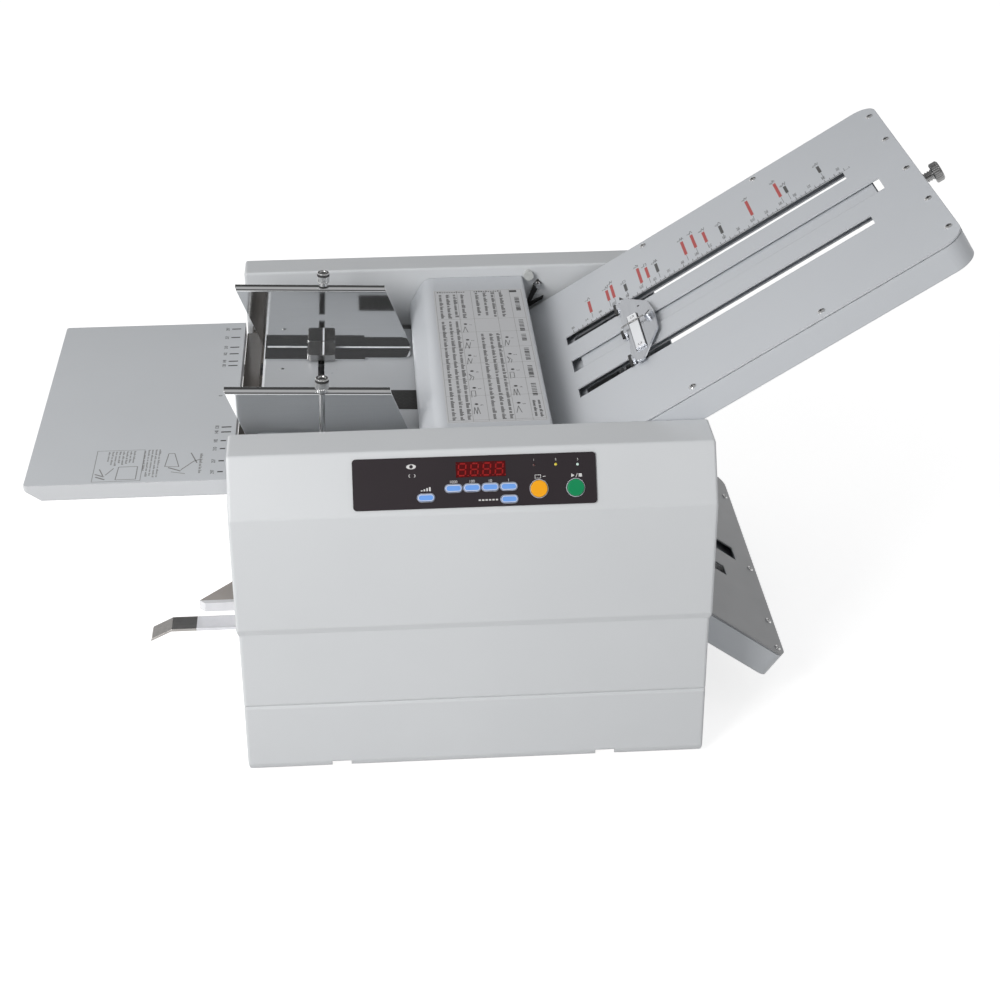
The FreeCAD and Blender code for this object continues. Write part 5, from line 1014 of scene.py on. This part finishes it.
def buildPad():
    form = bmesh.new()
    halfA, halfB, top = pad["length"] / 2, pad["width"] / 2, pad["top"]
    start = pad["place"] - halfA
    addPrism(form, rectangle(start, -halfB, pad["place"] + halfA, halfB), pad["low"], top)
    step = (pad["width"] - 2 * pad["border"]) / pad["teeth"]
    low, high = pad["ribRise"]
    for line in range(pad["ribs"]):  # moulded zigzag ribs
        a = start + pad["ribStart"] + pad["ribPitch"] * line
        for k in range(pad["teeth"]):
            b = -halfB + pad["border"] + k * step
            reach = pad["reach"] * (-1) ** k
            addPrism(form, stroke(a - reach, b, a + reach, b + step, pad["rib"]), top + low,
                top + high)
    newPiece("grip_pad", form, tableFrame, "table", "dark_rubber", "darkRubber")


buildPad()
print("pad done")


# upper stop: black fingers, clamp strip with its outline, rod and rivets

stop = dict(
    fingers=[(56, 10.5), (0, 7), (-56, 10.5)], fingerSpan=(128.2, 130.95),
    fingerRise=(7.35, 9.6), pointerTop=12.55, stripTop=14.55, film=0.15, print=0.1,
    strip=(138.7, -53, 148.7, 17), outline=0.7, stripInset=0.6,
    rivets=[(143.7, -47), (143.7, 11)], rivet=1.5, rivetHeight=0.6, washer=2,
    hole=(152, 30, 1.2, 1.2), pointer=[(136.5, 63), (141, 60), (137.5, 69)],
    rod=(131.5, -0.3, 155, 1.3), rodHeight=1.4, slot=(156.5, -2.2, 161.5, 2.2, 1),
    slotRise=(16.05, 16.2),
)


def buildStopTrim():
    form = bmesh.new()
    start, end = stop["fingerSpan"]
    for centre, half in stop["fingers"]:
        addPrism(form, rectangle(start, centre - half, end, centre + half), *stop["fingerRise"])
    newPiece("stop_fingers", form, upperFrame, "upper_stop", "black_paint", "blackPaint")

    form = bmesh.new()
    strip, thin = stop["strip"], stop["print"]
    top, stripTop = stop["pointerTop"], stop["stripTop"]
    film = stripTop + stop["film"]
    addRing(form, inset(strip, -stop["outline"]), rectangle(*strip), top, top + thin, 1)
    # the strip is real; its near-white colour is a painted highlight for its polished sheen
    addPrism(form, inset(strip, stop["stripInset"]), stripTop, film)
    for a, b in stop["rivets"]:
        addPrism(form, oval(a, b, stop["washer"], stop["washer"], 20), film, film + thin, 1)
        addDome(form, a, b, stop["rivet"], film, stop["rivetHeight"])
    addPrism(form, oval(*stop["hole"], 16), top, top + thin, 1)
    addPrism(form, stop["pointer"], top, top + thin, 1)
    newPiece("strip_trim", form, upperFrame, "upper_stop", "polished_steel", "highlightWhite",
        "blackPaint")

    form = bmesh.new()
    addPrism(form, rectangle(*stop["rod"]), film, stripTop + stop["rodHeight"])
    addPrism(form, stroke(*stop["slot"]), *stop["slotRise"], 1)
    newPiece("stop_rod", form, upperFrame, "upper_stop", "polished_steel", "darkChrome",
        "blackPaint")


buildStopTrim()
print("stop trim done")


# painted highlights: bright lines on the table's left edge, and on seams and fold lines of the two
# guides

bright = dict(edge=(0, -150, 2.2, 150), lift=0.12, seam=(55.7, 57.3), blockTop=7.8,
    seamSpan=(80.5, 110.8), folds=[(3, 41), (68.2, 141)], foldSpan=(110.6, 111.6), foldLevel=1.85)


def buildBrightEdges():
    form = bmesh.new()
    lift = bright["lift"]
    addPrism(form, rectangle(*bright["edge"]), 0, lift)
    newPiece("table_edge_highlight", form, tableFrame, "table", "polished_steel", "highlightWhite")
    strips = [(bright["seam"], bright["seamSpan"], bright["blockTop"])]
    strips += [(ends, bright["foldSpan"], bright["foldLevel"]) for ends in bright["folds"]]
    for side, label in ((-1, "front"), (1, "rear")):
        form = bmesh.new()
        for (start, end), span, level in strips:
            low, high = sorted(side * b for b in span)
            addPrism(form, rectangle(start, low, end, high), level, level + lift)
        newPiece("guide_highlight_lines_" + label, form, tableFrame, label + "_guide", "polished_steel",
            "highlightWhite")


buildBrightEdges()
print("bright edges done")


# studio in metres: floor, white surroundings, lamps and camera

studio = dict(
    floor=14, floorSpan=(-0.02, -0.0005), floorTone=(0.6, 0.62), floorNoise=3,
    floorGlow=0.75, zenith=0.55, horizonTop=0.16, darkFrom=0.44,
    leftShare=0.86, rightShare=0.68,
    flags=[(0.06, 0.9, 0.43), (0.02, -0.86, 0.51)], flagCore=0.968, flagEdge=0.93,
    flagShade=0.14, aim=(0, 0, 0.22),
    lamps=[("keyLamp", 40, 1.1, (-1.45, -1.65, 1.45), (1, 0.985, 0.97)),
        ("fillLamp", 1, 2, (2.4, -3.4, 1.2), (0.96, 0.98, 1))],
)
view = dict(sensor=36, lens=73.591, clip=(0.05, 60), place=(119.642, -1692.326, 1058.906),
    turns=(61.2517, 0.0959, -4.0436))


def rayMask(tree, *kinds):  # 1 where one of these kinds of rays arrives
    path = addNode(tree, "LightPath").outputs
    seen = path[kinds[0]]
    for kind in kinds[1:]:
        seen = mathNode(tree, "MAXIMUM", seen, path[kind])
    return seen


def buildFloor():
    form = bmesh.new()
    half = studio["floor"] / 2
    addPrism(form, rectangle(-half, -half, half, half), *studio["floorSpan"])
    mesh = meshFrom(form, "floor", Matrix())
    tree, shader = newMaterial("floorWhite", Roughness=0.9, Specular_IOR_Level=0.1)
    place = objectPlace(tree)
    tone = spread(tree, noise(tree, place, studio["floorNoise"]), *studio["floorTone"])
    tree.links.new(addNode(tree, "CombineColor", {0: tone, 1: tone, 2: tone}).outputs[0],
        shader.inputs["Base Color"])
    shader.inputs["Emission Color"].default_value = (1, 1, 1, 1)
    seen = rayMask(tree, "Is Camera Ray", "Is Transmission Ray", "Is Glossy Ray")
    tree.links.new(mathNode(tree, "MULTIPLY", seen, studio["floorGlow"]),
        shader.inputs["Emission Strength"])
    mesh.materials.append(finishes["floorWhite"])
    floor = bpy.data.objects.new("floor", mesh)
    scene.collection.objects.link(floor)


def buildWorld():  # a pale band round the horizon and a dimmer ceiling, white behind the object
    world = bpy.data.worlds.new("studioWorld")
    scene.world = world
    world.use_nodes = True
    tree = world.node_tree
    background = tree.nodes["Background"]
    direction = addNode(tree, "TexCoord").outputs["Generated"]
    parts = addNode(tree, "SeparateXYZ", {0: direction}).outputs
    share = spread(tree, parts["X"], studio["leftShare"], studio["rightShare"], -1, 1)
    room = spread(tree, parts["Z"], 1, studio["zenith"], studio["horizonTop"], studio["darkFrom"],
        interpolation_type="SMOOTHSTEP")
    room = mathNode(tree, "MULTIPLY", room, share)
    for flag in studio["flags"]:  # dark cards that polished metal mirrors
        near = addNode(tree, "VectorMath", {0: direction, 1: flag},
            operation="DOT_PRODUCT").outputs["Value"]
        shade = spread(tree, near, 1, studio["flagShade"], studio["flagEdge"], studio["flagCore"])
        room = mathNode(tree, "MULTIPLY", room, shade)
    seen = rayMask(tree, "Is Camera Ray", "Is Transmission Ray")
    tree.links.new(mathNode(tree, "MAXIMUM", room, seen), background.inputs["Strength"])
    background.inputs["Color"].default_value = (1, 1, 1, 1)


def buildLights():
    for name, power, size, place, color in studio["lamps"]:
        data = bpy.data.lights.new(name, "AREA")
        data.energy, data.size, data.color = power, size, color
        lamp = bpy.data.objects.new(name, data)
        scene.collection.objects.link(lamp)
        lamp.location = place
        towards = Vector(studio["aim"]) - Vector(place)
        lamp.rotation_euler = towards.to_track_quat("-Z", "Y").to_euler()


def buildCamera():
    data = bpy.data.cameras.new("camera")
    data.sensor_width, data.lens = view["sensor"], view["lens"]
    data.clip_start, data.clip_end = view["clip"]
    camera = bpy.data.objects.new("camera", data)
    scene.collection.objects.link(camera)
    camera.location = machineFrame @ Vector(view["place"])
    camera.rotation_euler = [math.radians(turn) for turn in view["turns"]]
    scene.camera = camera


buildFloor()
buildWorld()
buildLights()
buildCamera()
print("studio done")

print("sizes written")
